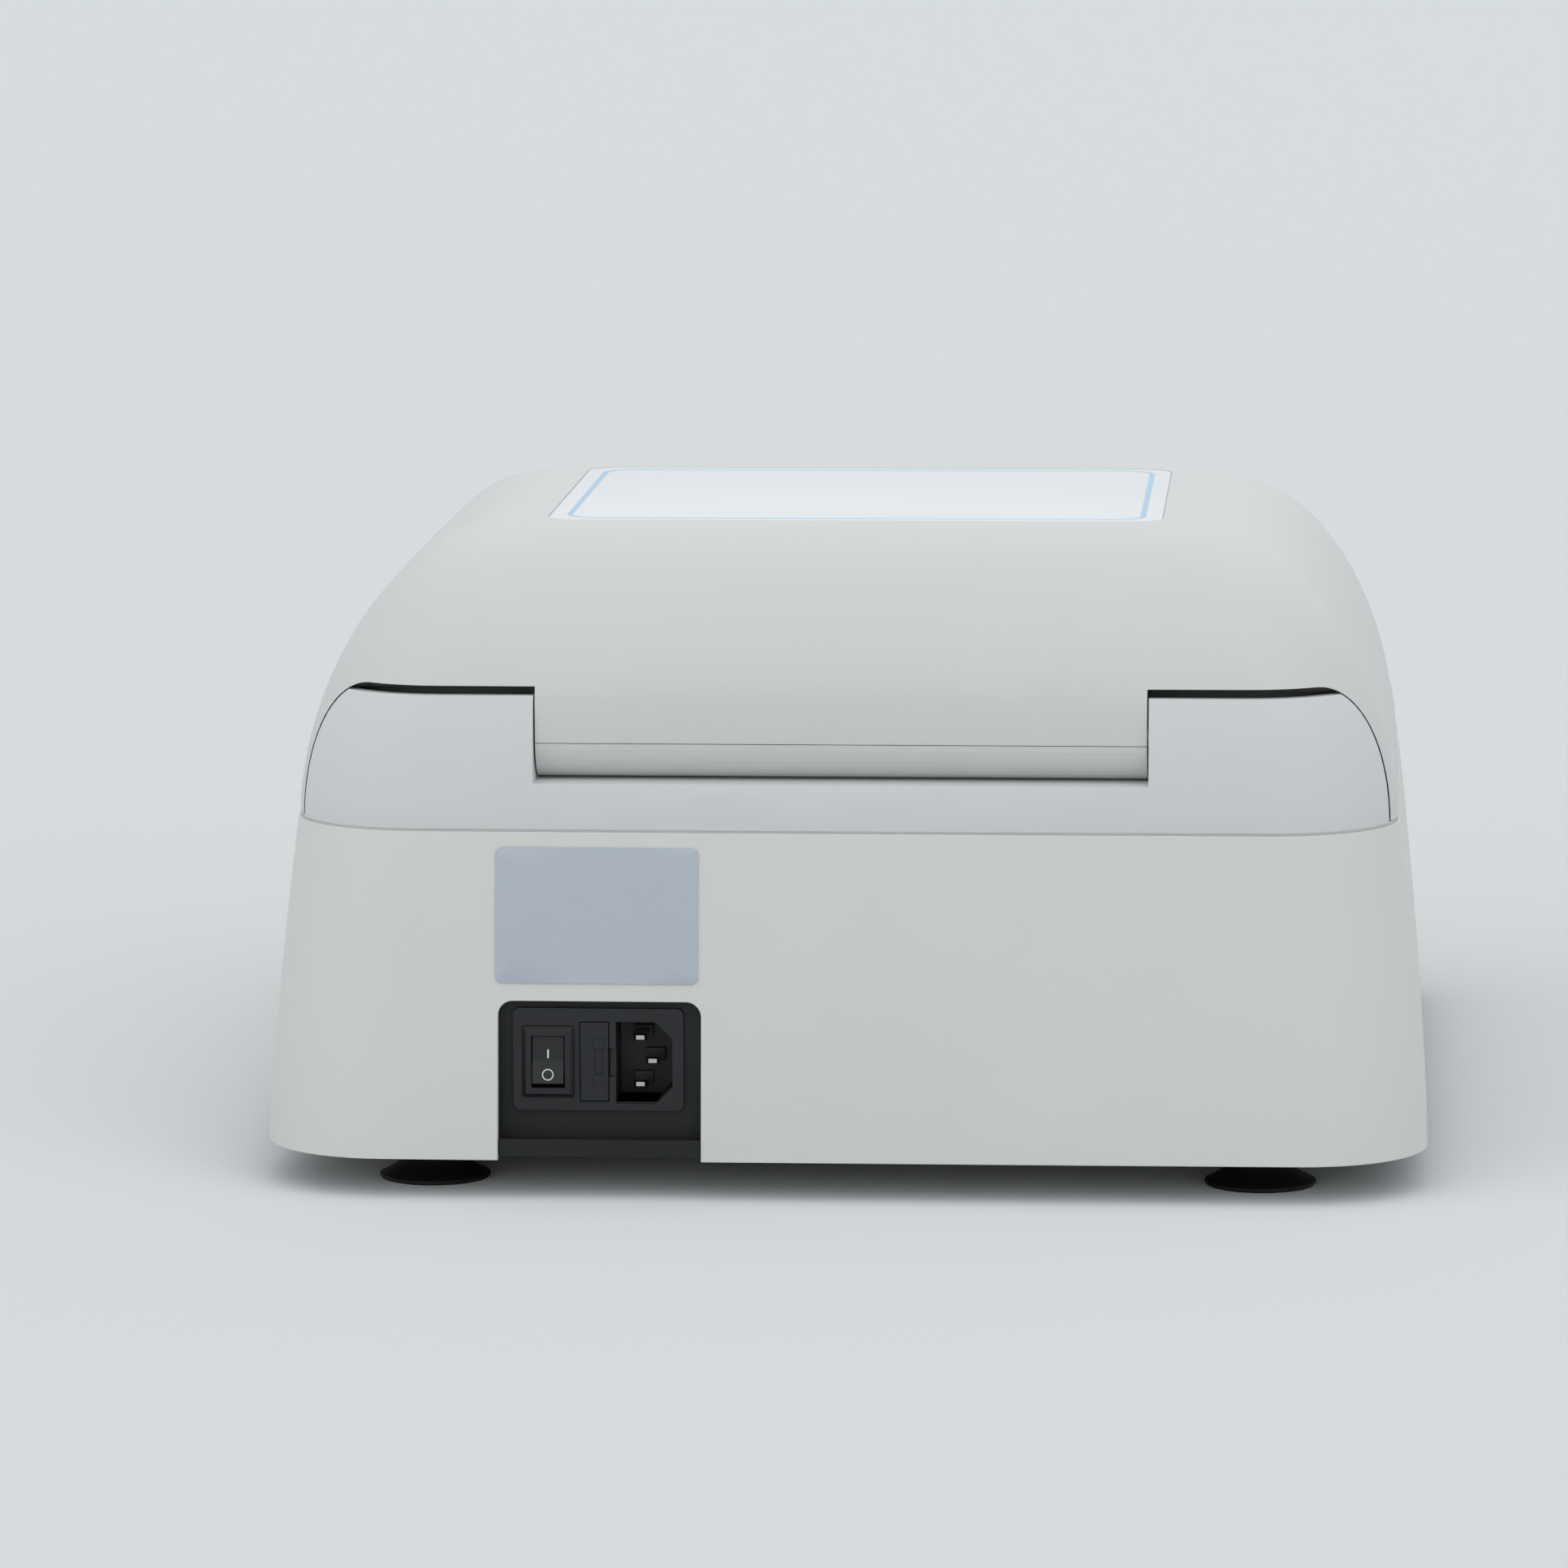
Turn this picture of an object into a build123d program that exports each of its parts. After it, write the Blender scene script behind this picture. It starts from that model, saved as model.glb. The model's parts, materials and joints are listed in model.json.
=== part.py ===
"""Microplate shaker: a heated bench shaker for four microplates, seen in the photo from behind.

Millimetres. The origin is the centre of the footprint on the table, +Z is up,
+Y points to the rear wall with the mains inlet and -Y to the control panel.
"""
from build123d import *
from math import atan2, cos, degrees, radians, sin, sqrt
import os

# Clearances
FIT = 0.02            # pieces fixed in one another
RUN = 0.05            # radial clearance of a shaft that turns in its bore
GAP = 0.3             # moving or loose pieces beside their neighbours

# Microplates, two rows of two: the plan of the instrument grows outwards from their nests
PLATE_X = 127.76      # standard microplate footprint
PLATE_Y = 85.48
NEST_PLAY = 0.42      # play on each side of a plate
NEST_RIB = 4.0
NEST_X = PLATE_X + 2 * NEST_PLAY
NEST_Y = PLATE_Y + 2 * NEST_PLAY
ORBIT_R = 1.5
PLATFORM_RIM_X = 4.4
PLATFORM_RIM_Y = 6.18
PLATFORM_HALF_X = NEST_RIB / 2 + NEST_X + PLATFORM_RIM_X
PLATFORM_HALF_Y = NEST_RIB / 2 + NEST_Y + PLATFORM_RIM_Y
CHAMBER_AIR_X = 4.5   # platform to the chamber's wall at the end of its orbit
CHAMBER_AIR_Y = 5.0
CHAMBER_HALF_X = PLATFORM_HALF_X + ORBIT_R + CHAMBER_AIR_X
CHAMBER_HALF_Y = PLATFORM_HALF_Y + ORBIT_R + CHAMBER_AIR_Y

# Lid and base in plan
LID_MARGIN_X = 24.0   # chamber to the lid's outer side
LID_MARGIN_Y = 47.4
LID_HALF_X = CHAMBER_HALF_X + LID_MARGIN_X
LID_HALF_Y = CHAMBER_HALF_Y + LID_MARGIN_Y
CONSOLE_RUN = 84.4    # depth of the control panel's part in front of the lid
RIM_STEP = 0.4        # how far the base's rim stands out beyond the lid
RIM_HALF_X = LID_HALF_X + RIM_STEP
RIM_HALF_Y = LID_HALF_Y + (CONSOLE_RUN + RIM_STEP) / 2
LID_CENTRE_Y = RIM_HALF_Y - RIM_STEP - LID_HALF_Y
LID_FRONT_Y = LID_CENTRE_Y - LID_HALF_Y
LID_REAR_Y = LID_CENTRE_Y + LID_HALF_Y
CHAMBER_SHIFT = 1.0
CHAMBER_Y = LID_CENTRE_Y + CHAMBER_SHIFT

# Base housing
FLOOR_GAP = 12.3      # table to the housing's lower edge
SPLIT_Z = 110.0       # joint between base and upper housing
SPLIT_GROOVE = 0.8    # height of the shadow groove at that joint
GROOVE_DEPTH = 1.0
WAIST_Z = 61.0
WAIST_SPREAD_X = 5.4  # how far the waist stands out beyond the rim
WAIST_SPREAD_Y = 5.0
BASE_SPREAD_X = 9.1   # the same for the lower edge
BASE_SPREAD_Y = 9.2
WAIST_HALF_X = RIM_HALF_X + WAIST_SPREAD_X
WAIST_HALF_Y = RIM_HALF_Y + WAIST_SPREAD_Y
BASE_HALF_X = RIM_HALF_X + BASE_SPREAD_X
BASE_HALF_Y = RIM_HALF_Y + BASE_SPREAD_Y
BASE_CORNER = 38.0
EDGE_BOW = 1.2        # how far each wall bows out in plan
WALL = 3.0
FAR = 400.0           # beyond every part

# Base plate, feet and case screws
PLATE_Z = 13.3
PLATE_T = 2.0
PLATE_TOP = PLATE_Z + PLATE_T
PLATE_INSET = WALL + 0.3
LEDGE_H = 5.2         # upturned lip that closes the foot of the inlet notch
FOOT_IN_X = 50.5
FOOT_IN_Y = 40.0
FOOT_X = BASE_HALF_X - FOOT_IN_X
FOOT_Y = BASE_HALF_Y - FOOT_IN_Y
FOOT_R = 16.7
FOOT_NECK_R = 9.0
FOOT_RIM_H = 1.2
FOOT_FLARE_Z = 7.0
FOOT_CUP_R = 13.5
FOOT_CUP_DEPTH = 2.2
FOOT_STUD_R = 3.0
FOOT_STUD_TOP = 21.0
FOOT_NUT_R = 5.5
FOOT_NUT_T = 3.2
BOSS_R = 4.5
BOSS_IN = 11.4        # from the rim's side
BOSS_IN_FRONT = 13.4
BOSS_FROM_FRONT = 54.8
BOSS_REACH = 78.0     # from the lid's centre to the rear pair
BOSS_MIDDLE = 30.0    # from the lid's centre forward to the middle pair
BOSS_PLACES = [(RIM_HALF_X - BOSS_IN_FRONT, BOSS_FROM_FRONT - RIM_HALF_Y),
               (RIM_HALF_X - BOSS_IN, LID_CENTRE_Y - BOSS_MIDDLE),
               (RIM_HALF_X - BOSS_IN, LID_CENTRE_Y + BOSS_REACH)]
BOSS_RISE = 12.0      # height of the upper housing's own bosses
RIB_T = 2.4
SCREW_R = 2.0
SCREW_HEAD_R = 4.0
SCREW_HEAD_T = 1.6
SCREW_DEPTH = 9.0      # thread in the upper housing

# Lid
LID_CORNER = 38.0
LID_TOP_CORNER = 25.0
LID_TOP_Z = 194.3
LID_SIDE_FALL = 60.0  # how far the sides draw in from the skirt to the flat top
LID_END_FALL = 68.0   # the same for the front and rear
SIDE_POWER = 1.7
END_POWER = 3.0
LID_WALL = 3.0
LID_GAP = 0.5         # lid skirt above the base
LID_ANGLES = (0, 20, 35, 50, 63, 75, 84, 90)

# Lid edge: level over the rear wall and the deck, drawn down round the corners
ARCH_IN = 3.0         # from the lid's side to the foot of the curve
ARCH_HALF_X = LID_HALF_X - ARCH_IN
ARCH_SIDE = 22.0
ARCH_GAP = 0.4
REAR_EDGE_Z = 152.0
REAR_WALL_TOP = 149.3
DECK_Z = 140.0
DECK_T = 3.0
FRONT_EDGE_Z = DECK_Z + 0.8
LIP_HALF_X = 40.0
LIP_REACH = 9.0
LIP_Z = 152.0
LIP_T = 3.0

# Hinge
HINGE_IN = 16.0       # from the lid's rear to the axis
HINGE_Y = LID_REAR_Y - HINGE_IN
HINGE_Z = 136.6
HINGE_HALF_X = 90.3
BARREL_R = 12.5
BARREL_WALL = 2.8
SEAM_Z = 135.3
SEAM_GAP = 0.2
HOOD_TOP_Z = 150.0
EDGE_SWEEP_R = 18.2   # relief inside the lid's rear edge, about the hinge
CORNER_SWEEPS = [(41.0, 0.0), (35.0, 0.6), (30.0, 1.4)]  # end from the lid's side, less radius
TROUGH_GAP = 0.5
SHAFT_R = 4.0
CARTRIDGE_R = 7.0
CARTRIDGE_HALF_X = 82.0
HINGE_BOSS_T = 12.0
SHAFT_END = 1.2
SADDLE_T = 3.0
SADDLES = 4

# Upper housing and control panel
SKIRT_CLEAR = 1.2     # lid skirt to the hidden side wall
PANEL_BEFORE_LID = 1.6
PANEL_FROM_FRONT = 6.8
PANEL_REAR_Y = LID_FRONT_Y - PANEL_BEFORE_LID
PANEL_FRONT_Y = PANEL_FROM_FRONT - RIM_HALF_Y
PANEL_FRONT_Z = 117.5
PANEL_T = 3.0
CONSOLE_LEVELS = [(SPLIT_Z, 0.0, 0.0), (127.0, 6.5, 1.2), (144.0, 16.0, 2.4)]  # height, draw at side, front
OVERLAY_X = 230.0
OVERLAY_V = 54.0
OVERLAY_T = 0.8
OVERLAY_CORNER = 5.0
WINDOW_X = 72.0
WINDOW_V = 32.0
WINDOW_U = -62.0      # window centre, to the left of the panel's middle
WINDOW_LEDGE = 4.0
KEY_FIRST_U = 4.0
KEY_PITCH = 24.0
KEYS = 5
KEY_R = 6.0
KEY_PROUD = 1.4
KEY_FLANGE_R = 7.5
KEY_FLANGE_T = 1.2
BOARD_X = 124.0
BOARD_V = 44.0
BOARD_DEPTH = 8.0
BOARD_T = 1.6
BOARD_POST_R = 2.5
BUTTON_SIDE = 6.0
DISPLAY_T = 7.0

# Chamber
CHAMBER_CORNER = 12.0
TUB_WALL = 1.5
TUB_FLOOR_Z = 92.0
TUB_FLOOR_T = 2.0
TUB_FLANGE = 8.0
MAT_T = 1.5
MAT_MARGIN = 14.0
PROBE_X = 60.0
PROBE_Z = 98.5
PROBE_R = 2.0
PROBE_IN = 8.0
PROBE_OUT = 9.0

# Lid liner and seal
LINER_Z = 148.0
LINER_T = 2.5
LINER_RIM = 8.0
LINER_BEFORE_HINGE = 17.4
LINER_REAR_Y = HINGE_Y - LINER_BEFORE_HINGE
LINER_RIM_T = 2.0
GASKET_W = 5.0
FOAM_TOP_Z = 185.0
MAGNET_X = 60.0
MAGNET_OUT = 24.0     # in front of the chamber
MAGNET_Y = CHAMBER_Y - CHAMBER_HALF_Y - MAGNET_OUT
MAGNET_R = 6.0
STRIKE_R = 8.0
STRIKE_T = 1.0

# Orbital drive
CRANK_IN_X = 35.0     # from the platform's side to the cranks
CRANK_IN_Y = 36.5
CRANK_X = PLATFORM_HALF_X - CRANK_IN_X
CRANK_Y = PLATFORM_HALF_Y - CRANK_IN_Y
FRAME_Z = 58.0
FRAME_T = 6.0
FRAME_RIM_X = 18.0    # from the cranks to the frame's side
FRAME_RIM_Y = 16.0
FRAME_HALF_X = CRANK_X + FRAME_RIM_X
FRAME_HALF_Y = CRANK_Y + FRAME_RIM_Y
FRAME_LEG_R = 7.0
FRAME_LEG_IN = 9.0
HUB_R = 22.0
HUB_BOTTOM = 32.0
BEARING_R = 14.0
BEARING_T = 8.0
SPINDLE_R = 6.0
SPINDLE_BOTTOM = 17.5
COLLAR_R = 8.0
COLLAR_T = 2.0
WEIGHT_R = 42.0
WEIGHT_HUB_R = 14.0
WEIGHT_T = 11.0
WEIGHT_Z = 66.0
PIN_R = 5.0
PIN_TOP = 99.0
PULLEY_Z = 19.2
PULLEY_FLANGE_T = 1.0
BELT_W = 8.0
BELT_T = 2.0
DRIVEN_R = 30.0
MOTOR_PULLEY_R = 10.0
PULLEY_LIP = 4.0
MOTOR_X = -85.0
MOTOR_R = 28.0
MOTOR_Z = 33.0
MOTOR_SHAFT_R = 3.0
MOTOR_SHAFT_IN = 14.0

# Idler cranks
CRANK_PIN_R = 4.0
CRANK_BEARING_R = 8.0
CRANK_DISC_R = 11.0
CRANK_DISC_T = 4.0
CRANK_POST_R = 6.0
CRANK_HOLE_R = 14.0
BUSH_R = 7.0
BUSH_T = 8.0

# Platform, plate nests and clips
PLATFORM_Z = 104.0
PLATFORM_T = 4.0
PLATFORM_CORNER = 6.0
PLATFORM_HUB_R = 16.0
PLATFORM_BEARING_R = 11.0
PLATFORM_BEARING_T = 12.0
NEST_RIM_H = 6.0
NEST_WINDOW = 60.0
CLIP_PIN_R = 1.5
CLIP_RING_R = 3.0     # tangent to the nose's own line, so that it clears a plate
CLIP_ARM_T = 3.0
CLIP_ARM_L = 24.0
CLIP_ARM_W = 5.0
CLIP_NOSE_R = 3.0
CLIP_HEAD_R = 2.8
CLIP_SPRING_H = 2.6

# Mains inlet
NOTCH_X0 = 40.8
NOTCH_X1 = 101.1
NOTCH_TOP = 59.5
NOTCH_CORNER = 4.5
NOTCH_DEPTH = 25.0
INLET_SET_BACK = 8.0  # of the bracket's face behind the base's rear edge
INLET_FACE_Y = BASE_HALF_Y - INLET_SET_BACK
INLET_PANEL_T = 2.0
INLET_FOOT = 16.0
MODULE_X0 = 46.2
MODULE_X1 = 96.9
MODULE_Z0 = 26.4
MODULE_Z1 = 57.1
MODULE_FLANGE_T = 1.6
MODULE_INSET = 2.5
MODULE_DEPTH = 28.0
MODULE_CORNER = 2.2
BEZEL_W = 15.0
BEZEL_H = 21.0
BEZEL_T = 1.2
SWITCH_X = 86.4
ROCKER_W = 9.3
ROCKER_H = 14.7
ROCKER_TILT = 8.0
SWITCH_Z = 41.1
FUSE_X = 72.7
FUSE_W = 8.8
FUSE_H = 24.0
FUSE_DEPTH = 22.0
FUSE_R = 2.5
FUSE_TUBE_L = 20.0
SOCKET_X = 57.9
SOCKET_W = 16.7
SOCKET_H = 24.5
SOCKET_DEPTH = 17.0
SOCKET_CHAMFER = 5.0
SOCKET_Z = 40.8
PIN_SPACING = 14.0
PIN_EARTH_SHIFT = 3.65
PIN_SIDE_X = 59.4
BLADE_W = 4.0
BLADE_H = 2.0
BLADE_OUT = 13.0

# Rating plate and top label
RATING_X = 71.8
RATING_Z = 84.9
RATING_W = 60.0
RATING_H = 40.0
RATING_T = 0.5
LABEL_X = 186.0
LABEL_Y = 153.0
LABEL_CENTRE_Y = LID_CENTRE_Y + 0.5
LABEL_CORNER = 10.0
LABEL_T = 0.5

# Power supply, between the drive frame and the side wall
SUPPLY_IN = 18.4
SUPPLY_W = 28.0
SUPPLY_L = 130.0
SUPPLY_FORWARD = 113.0
SUPPLY_X1 = RIM_HALF_X - SUPPLY_IN
SUPPLY_X0 = SUPPLY_X1 - SUPPLY_W
SUPPLY_Y0 = CHAMBER_Y - SUPPLY_FORWARD
SUPPLY_Y1 = SUPPLY_Y0 + SUPPLY_L
SUPPLY_H = 34.0

PANEL_ANGLE = degrees(atan2(DECK_Z - PANEL_FRONT_Z, PANEL_REAR_Y - PANEL_FRONT_Y))


def block(x0, x1, y0, y1, z0, z1):
    """Box between two corners."""
    return Pos((x0 + x1) / 2, (y0 + y1) / 2, (z0 + z1) / 2) * Box(x1 - x0, y1 - y0, z1 - z0)


def disc(x, y, z0, z1, radius):
    """Upright cylinder between two heights."""
    return Pos(x, y, (z0 + z1) / 2) * Cylinder(radius, z1 - z0)


def ring(x, y, z0, z1, outer, inner):
    """Upright tube."""
    return disc(x, y, z0, z1, outer) - disc(x, y, z0 - 1, z1 + 1, inner)


def slab(half_x, half_y, corner, z0, z1, centre_y=0.0, centre_x=0.0):
    """Rounded rectangular slab."""
    return extrude(Pos(centre_x, centre_y, z0) * RectangleRounded(2 * half_x, 2 * half_y, corner), z1 - z0)


def rod_x(x0, x1, y, z, radius):
    """Cylinder along X."""
    return Pos((x0 + x1) / 2, y, z) * Rot(0, 90, 0) * Cylinder(radius, x1 - x0)


def outline(half_x, half_y, corner, z, centre_y=0.0, bow=EDGE_BOW):
    """Plan section of the housing: four bowed edges and rounded corners."""
    x, y = half_x - bow, half_y - bow
    rear = ThreePointArc((-x, y), (0, half_y), (x, y))
    right = ThreePointArc((x, y), (half_x, 0), (x, -y))
    front = ThreePointArc((x, -y), (0, -half_y), (-x, -y))
    left = ThreePointArc((-x, -y), (-half_x, 0), (-x, y))
    face = make_face([rear, right, front, left])
    face = fillet(face.vertices(), corner)
    return Pos(0, centre_y, z) * face


def base_form(inset=0.0):
    """Tapered outer form of the base, or the same drawn in by a wall."""
    return loft([
        outline(BASE_HALF_X - inset, BASE_HALF_Y - inset, BASE_CORNER - inset, FLOOR_GAP),
        outline(WAIST_HALF_X - inset, WAIST_HALF_Y - inset, BASE_CORNER - inset, WAIST_Z),
        outline(RIM_HALF_X - inset, RIM_HALF_Y - inset, BASE_CORNER - inset, SPLIT_Z),
    ])


def lid_form(inset=0.0):
    """Domed form of the lid and rear wall, from the split up to the flat top."""
    levels = []
    for angle in LID_ANGLES:
        rise = sin(radians(angle)) ** (2 / SIDE_POWER)
        height = SPLIT_Z + (LID_TOP_Z - SPLIT_Z - inset) * rise
        side = LID_SIDE_FALL * (1 - sqrt(max(0.0, 1 - rise ** SIDE_POWER)))
        end = LID_END_FALL * (1 - sqrt(max(0.0, 1 - rise ** END_POWER)))
        share = side / LID_SIDE_FALL
        corner = LID_CORNER - inset + (LID_TOP_CORNER - LID_CORNER) * share
        levels.append(outline(LID_HALF_X - inset - side, LID_HALF_Y - inset - end, corner, height,
                              LID_CENTRE_Y, EDGE_BOW * (1 - 0.5 * share)))
    return loft(levels)


def arch(top, clear, y0, y1):
    """Prism along Y whose upper corners fall in quarter ellipses to the split."""
    half = ARCH_HALF_X - clear
    side, top = ARCH_SIDE - clear, top - clear
    rise = top - SPLIT_Z
    foot = SPLIT_Z - 10
    left = EllipticalCenterArc((-(half - side), SPLIT_Z), side, rise, 90, arc_size=90)
    right = EllipticalCenterArc((half - side, SPLIT_Z), side, rise, 0, arc_size=90)
    edges = [right, Line((half - side, top), (-(half - side), top)), left,
             Line((-half, SPLIT_Z), (-half, foot)), Line((-half, foot), (half, foot)),
             Line((half, foot), (half, SPLIT_Z))]
    face = Plane((0, y0, 0), x_dir=(1, 0, 0), z_dir=(0, -1, 0)) * make_face(edges)
    return extrude(face, -(y1 - y0))


def level(z0, z1, y0=-FAR, y1=FAR):
    """Everything between two heights, and between two depths where they are given."""
    return block(-FAR, FAR, y0, y1, z0, z1)


def below(z):
    """Everything under a height."""
    return level(-FAR, z)


def corner_y(end):
    """Where the lid's rounded corners begin, at the rear or front."""
    return LID_CENTRE_Y + end * (LID_HALF_Y - LID_CORNER)


def side_profile(points, half_x, centre_x=0.0):
    """Prism along X from a Y-Z outline."""
    face = Plane((centre_x - half_x, 0, 0), x_dir=(0, 1, 0), z_dir=(1, 0, 0)) * make_face(
        Polyline(*points, close=True))
    return extrude(face, 2 * half_x)


def panel(u, v, depth=0.0):
    """Location on the sloped control panel: u to the right, v up the slope, depth into it."""
    mid_y = (PANEL_REAR_Y + PANEL_FRONT_Y) / 2
    mid_z = (DECK_Z + PANEL_FRONT_Z) / 2
    frame = Plane((0, mid_y, mid_z), x_dir=(1, 0, 0),
                  z_dir=(0, -sin(radians(PANEL_ANGLE)), cos(radians(PANEL_ANGLE))))
    return frame.location * Pos(u, v, -depth)


def key_places():
    """Centres of the keys along the panel."""
    return [KEY_FIRST_U + KEY_PITCH * index for index in range(KEYS)]


def crank_places():
    """Pivots of the idler cranks."""
    return [(x, CHAMBER_Y + y) for x in (-CRANK_X, CRANK_X) for y in (-CRANK_Y, CRANK_Y)]


def boss_places():
    """Case screw bosses on both sides."""
    return [(side * x, y) for x, y in BOSS_PLACES for side in (-1, 1)]


def foot_places():
    """Centres of the feet."""
    return [(x, y) for x in (-FOOT_X, FOOT_X) for y in (-FOOT_Y, FOOT_Y)]


def notch():
    """Inlet notch in the rear wall, open at the bottom."""
    body = block(NOTCH_X0, NOTCH_X1, BASE_HALF_Y - NOTCH_DEPTH, BASE_HALF_Y + 5, FLOOR_GAP - 5, NOTCH_TOP)
    upper = body.edges().filter_by(Axis.Y).group_by(Axis.Z)[-1]
    return fillet(upper, NOTCH_CORNER)


def boss(x, y, z0, z1):
    """Screw boss with a rib towards the side wall."""
    outward = 30 if x > 0 else -30
    rib = block(min(x, x + outward), max(x, x + outward), y - RIB_T / 2, y + RIB_T / 2, z0, z1)
    return disc(x, y, z0, z1, BOSS_R) + rib


def base_housing():
    """Open moulded frame with bosses that take the case screws."""
    shell = base_form() - base_form(WALL)
    for x, y in boss_places():
        shell += boss(x, y, PLATE_TOP, SPLIT_Z - SPLIT_GROOVE) & base_form(WALL / 2)
    for x, y in boss_places():
        shell -= disc(x, y, 0, SPLIT_Z + 1, SCREW_R + GAP)
    shell -= notch()
    return shell & below(SPLIT_Z - SPLIT_GROOVE)


def base_plate():
    """Steel floor with the lip that shows at the foot of the inlet notch."""
    plate = extrude(outline(BASE_HALF_X - PLATE_INSET, BASE_HALF_Y - PLATE_INSET,
                            BASE_CORNER - PLATE_INSET, PLATE_Z), PLATE_T)
    x0, x1 = NOTCH_X0 + GAP, NOTCH_X1 - GAP
    front = BASE_HALF_Y - EDGE_BOW - 0.4
    plate += block(x0, x1, BASE_HALF_Y - 12, front, PLATE_Z, PLATE_TOP)
    plate += block(x0, x1, front - PLATE_T, front, PLATE_Z, PLATE_Z + LEDGE_H)
    for x, y in boss_places():
        plate -= disc(x, y, 0, 40, SCREW_R + FIT)
    for x, y in foot_places():
        plate -= disc(x, y, 0, 40, FOOT_STUD_R + FIT)
    return plate


def suction_feet():
    """Rubber suction feet with their studs."""
    feet = []
    flare = Spline((FOOT_R, FOOT_RIM_H), (FOOT_NECK_R + 2.2, 4.2), (FOOT_NECK_R, FOOT_FLARE_Z))
    cup = Spline((FOOT_CUP_R, 0), (FOOT_CUP_R * 0.6, FOOT_CUP_DEPTH * 0.8), (0, FOOT_CUP_DEPTH))
    edges = [flare, Line((FOOT_NECK_R, FOOT_FLARE_Z), (FOOT_NECK_R, PLATE_Z)),
             Line((FOOT_NECK_R, PLATE_Z), (FOOT_STUD_R, PLATE_Z)),
             Line((FOOT_STUD_R, PLATE_Z), (FOOT_STUD_R, FOOT_STUD_TOP)),
             Line((FOOT_STUD_R, FOOT_STUD_TOP), (0, FOOT_STUD_TOP)),
             Line((0, FOOT_STUD_TOP), (0, FOOT_CUP_DEPTH)), cup,
             Line((FOOT_CUP_R, 0), (FOOT_R, 0)), Line((FOOT_R, 0), (FOOT_R, FOOT_RIM_H))]
    foot = revolve(Plane.XZ * make_face(edges), Axis.Z)
    for x, y in foot_places():
        feet.append(Pos(x, y, 0) * foot)
    return feet


def foot_nuts():
    """Nuts that hold the feet on the base plate."""
    nut = extrude(RegularPolygon(FOOT_NUT_R, 6), FOOT_NUT_T)
    nut -= disc(0, 0, -1, FOOT_NUT_T + 1, FOOT_STUD_R + FIT)
    return [Pos(x, y, PLATE_TOP) * nut for x, y in foot_places()]


def housing_screws():
    """Long case screws through the base into the upper housing."""
    screws = []
    for x, y in boss_places():
        head = disc(x, y, PLATE_Z - SCREW_HEAD_T, PLATE_Z, SCREW_HEAD_R)
        screws.append(head + disc(x, y, PLATE_Z - SCREW_HEAD_T, SPLIT_Z + SCREW_DEPTH, SCREW_R))
    return screws


def console(inset=0.0):
    """Front console under the control panel, or its inside."""
    sections = []
    for height, draw_x, draw_y in CONSOLE_LEVELS:
        sections.append(outline(LID_HALF_X - draw_x - inset, RIM_HALF_Y - RIM_STEP - draw_y - inset,
                                BASE_CORNER - inset, height))
    body = loft(sections)
    rear_y = PANEL_REAR_Y + (30 if inset else 48)
    low = SPLIT_Z - 5
    top_y = PANEL_REAR_Y + 8
    top_z = DECK_Z - inset
    front_z = PANEL_FRONT_Z - inset
    wedge = side_profile([(rear_y, low), (rear_y, SPLIT_Z), (top_y, top_z), (PANEL_REAR_Y, top_z),
                          (PANEL_FRONT_Y, front_z), (-BASE_HALF_Y, front_z - 6), (-BASE_HALF_Y, low)],
                         BASE_HALF_X)
    return body & wedge


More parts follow.
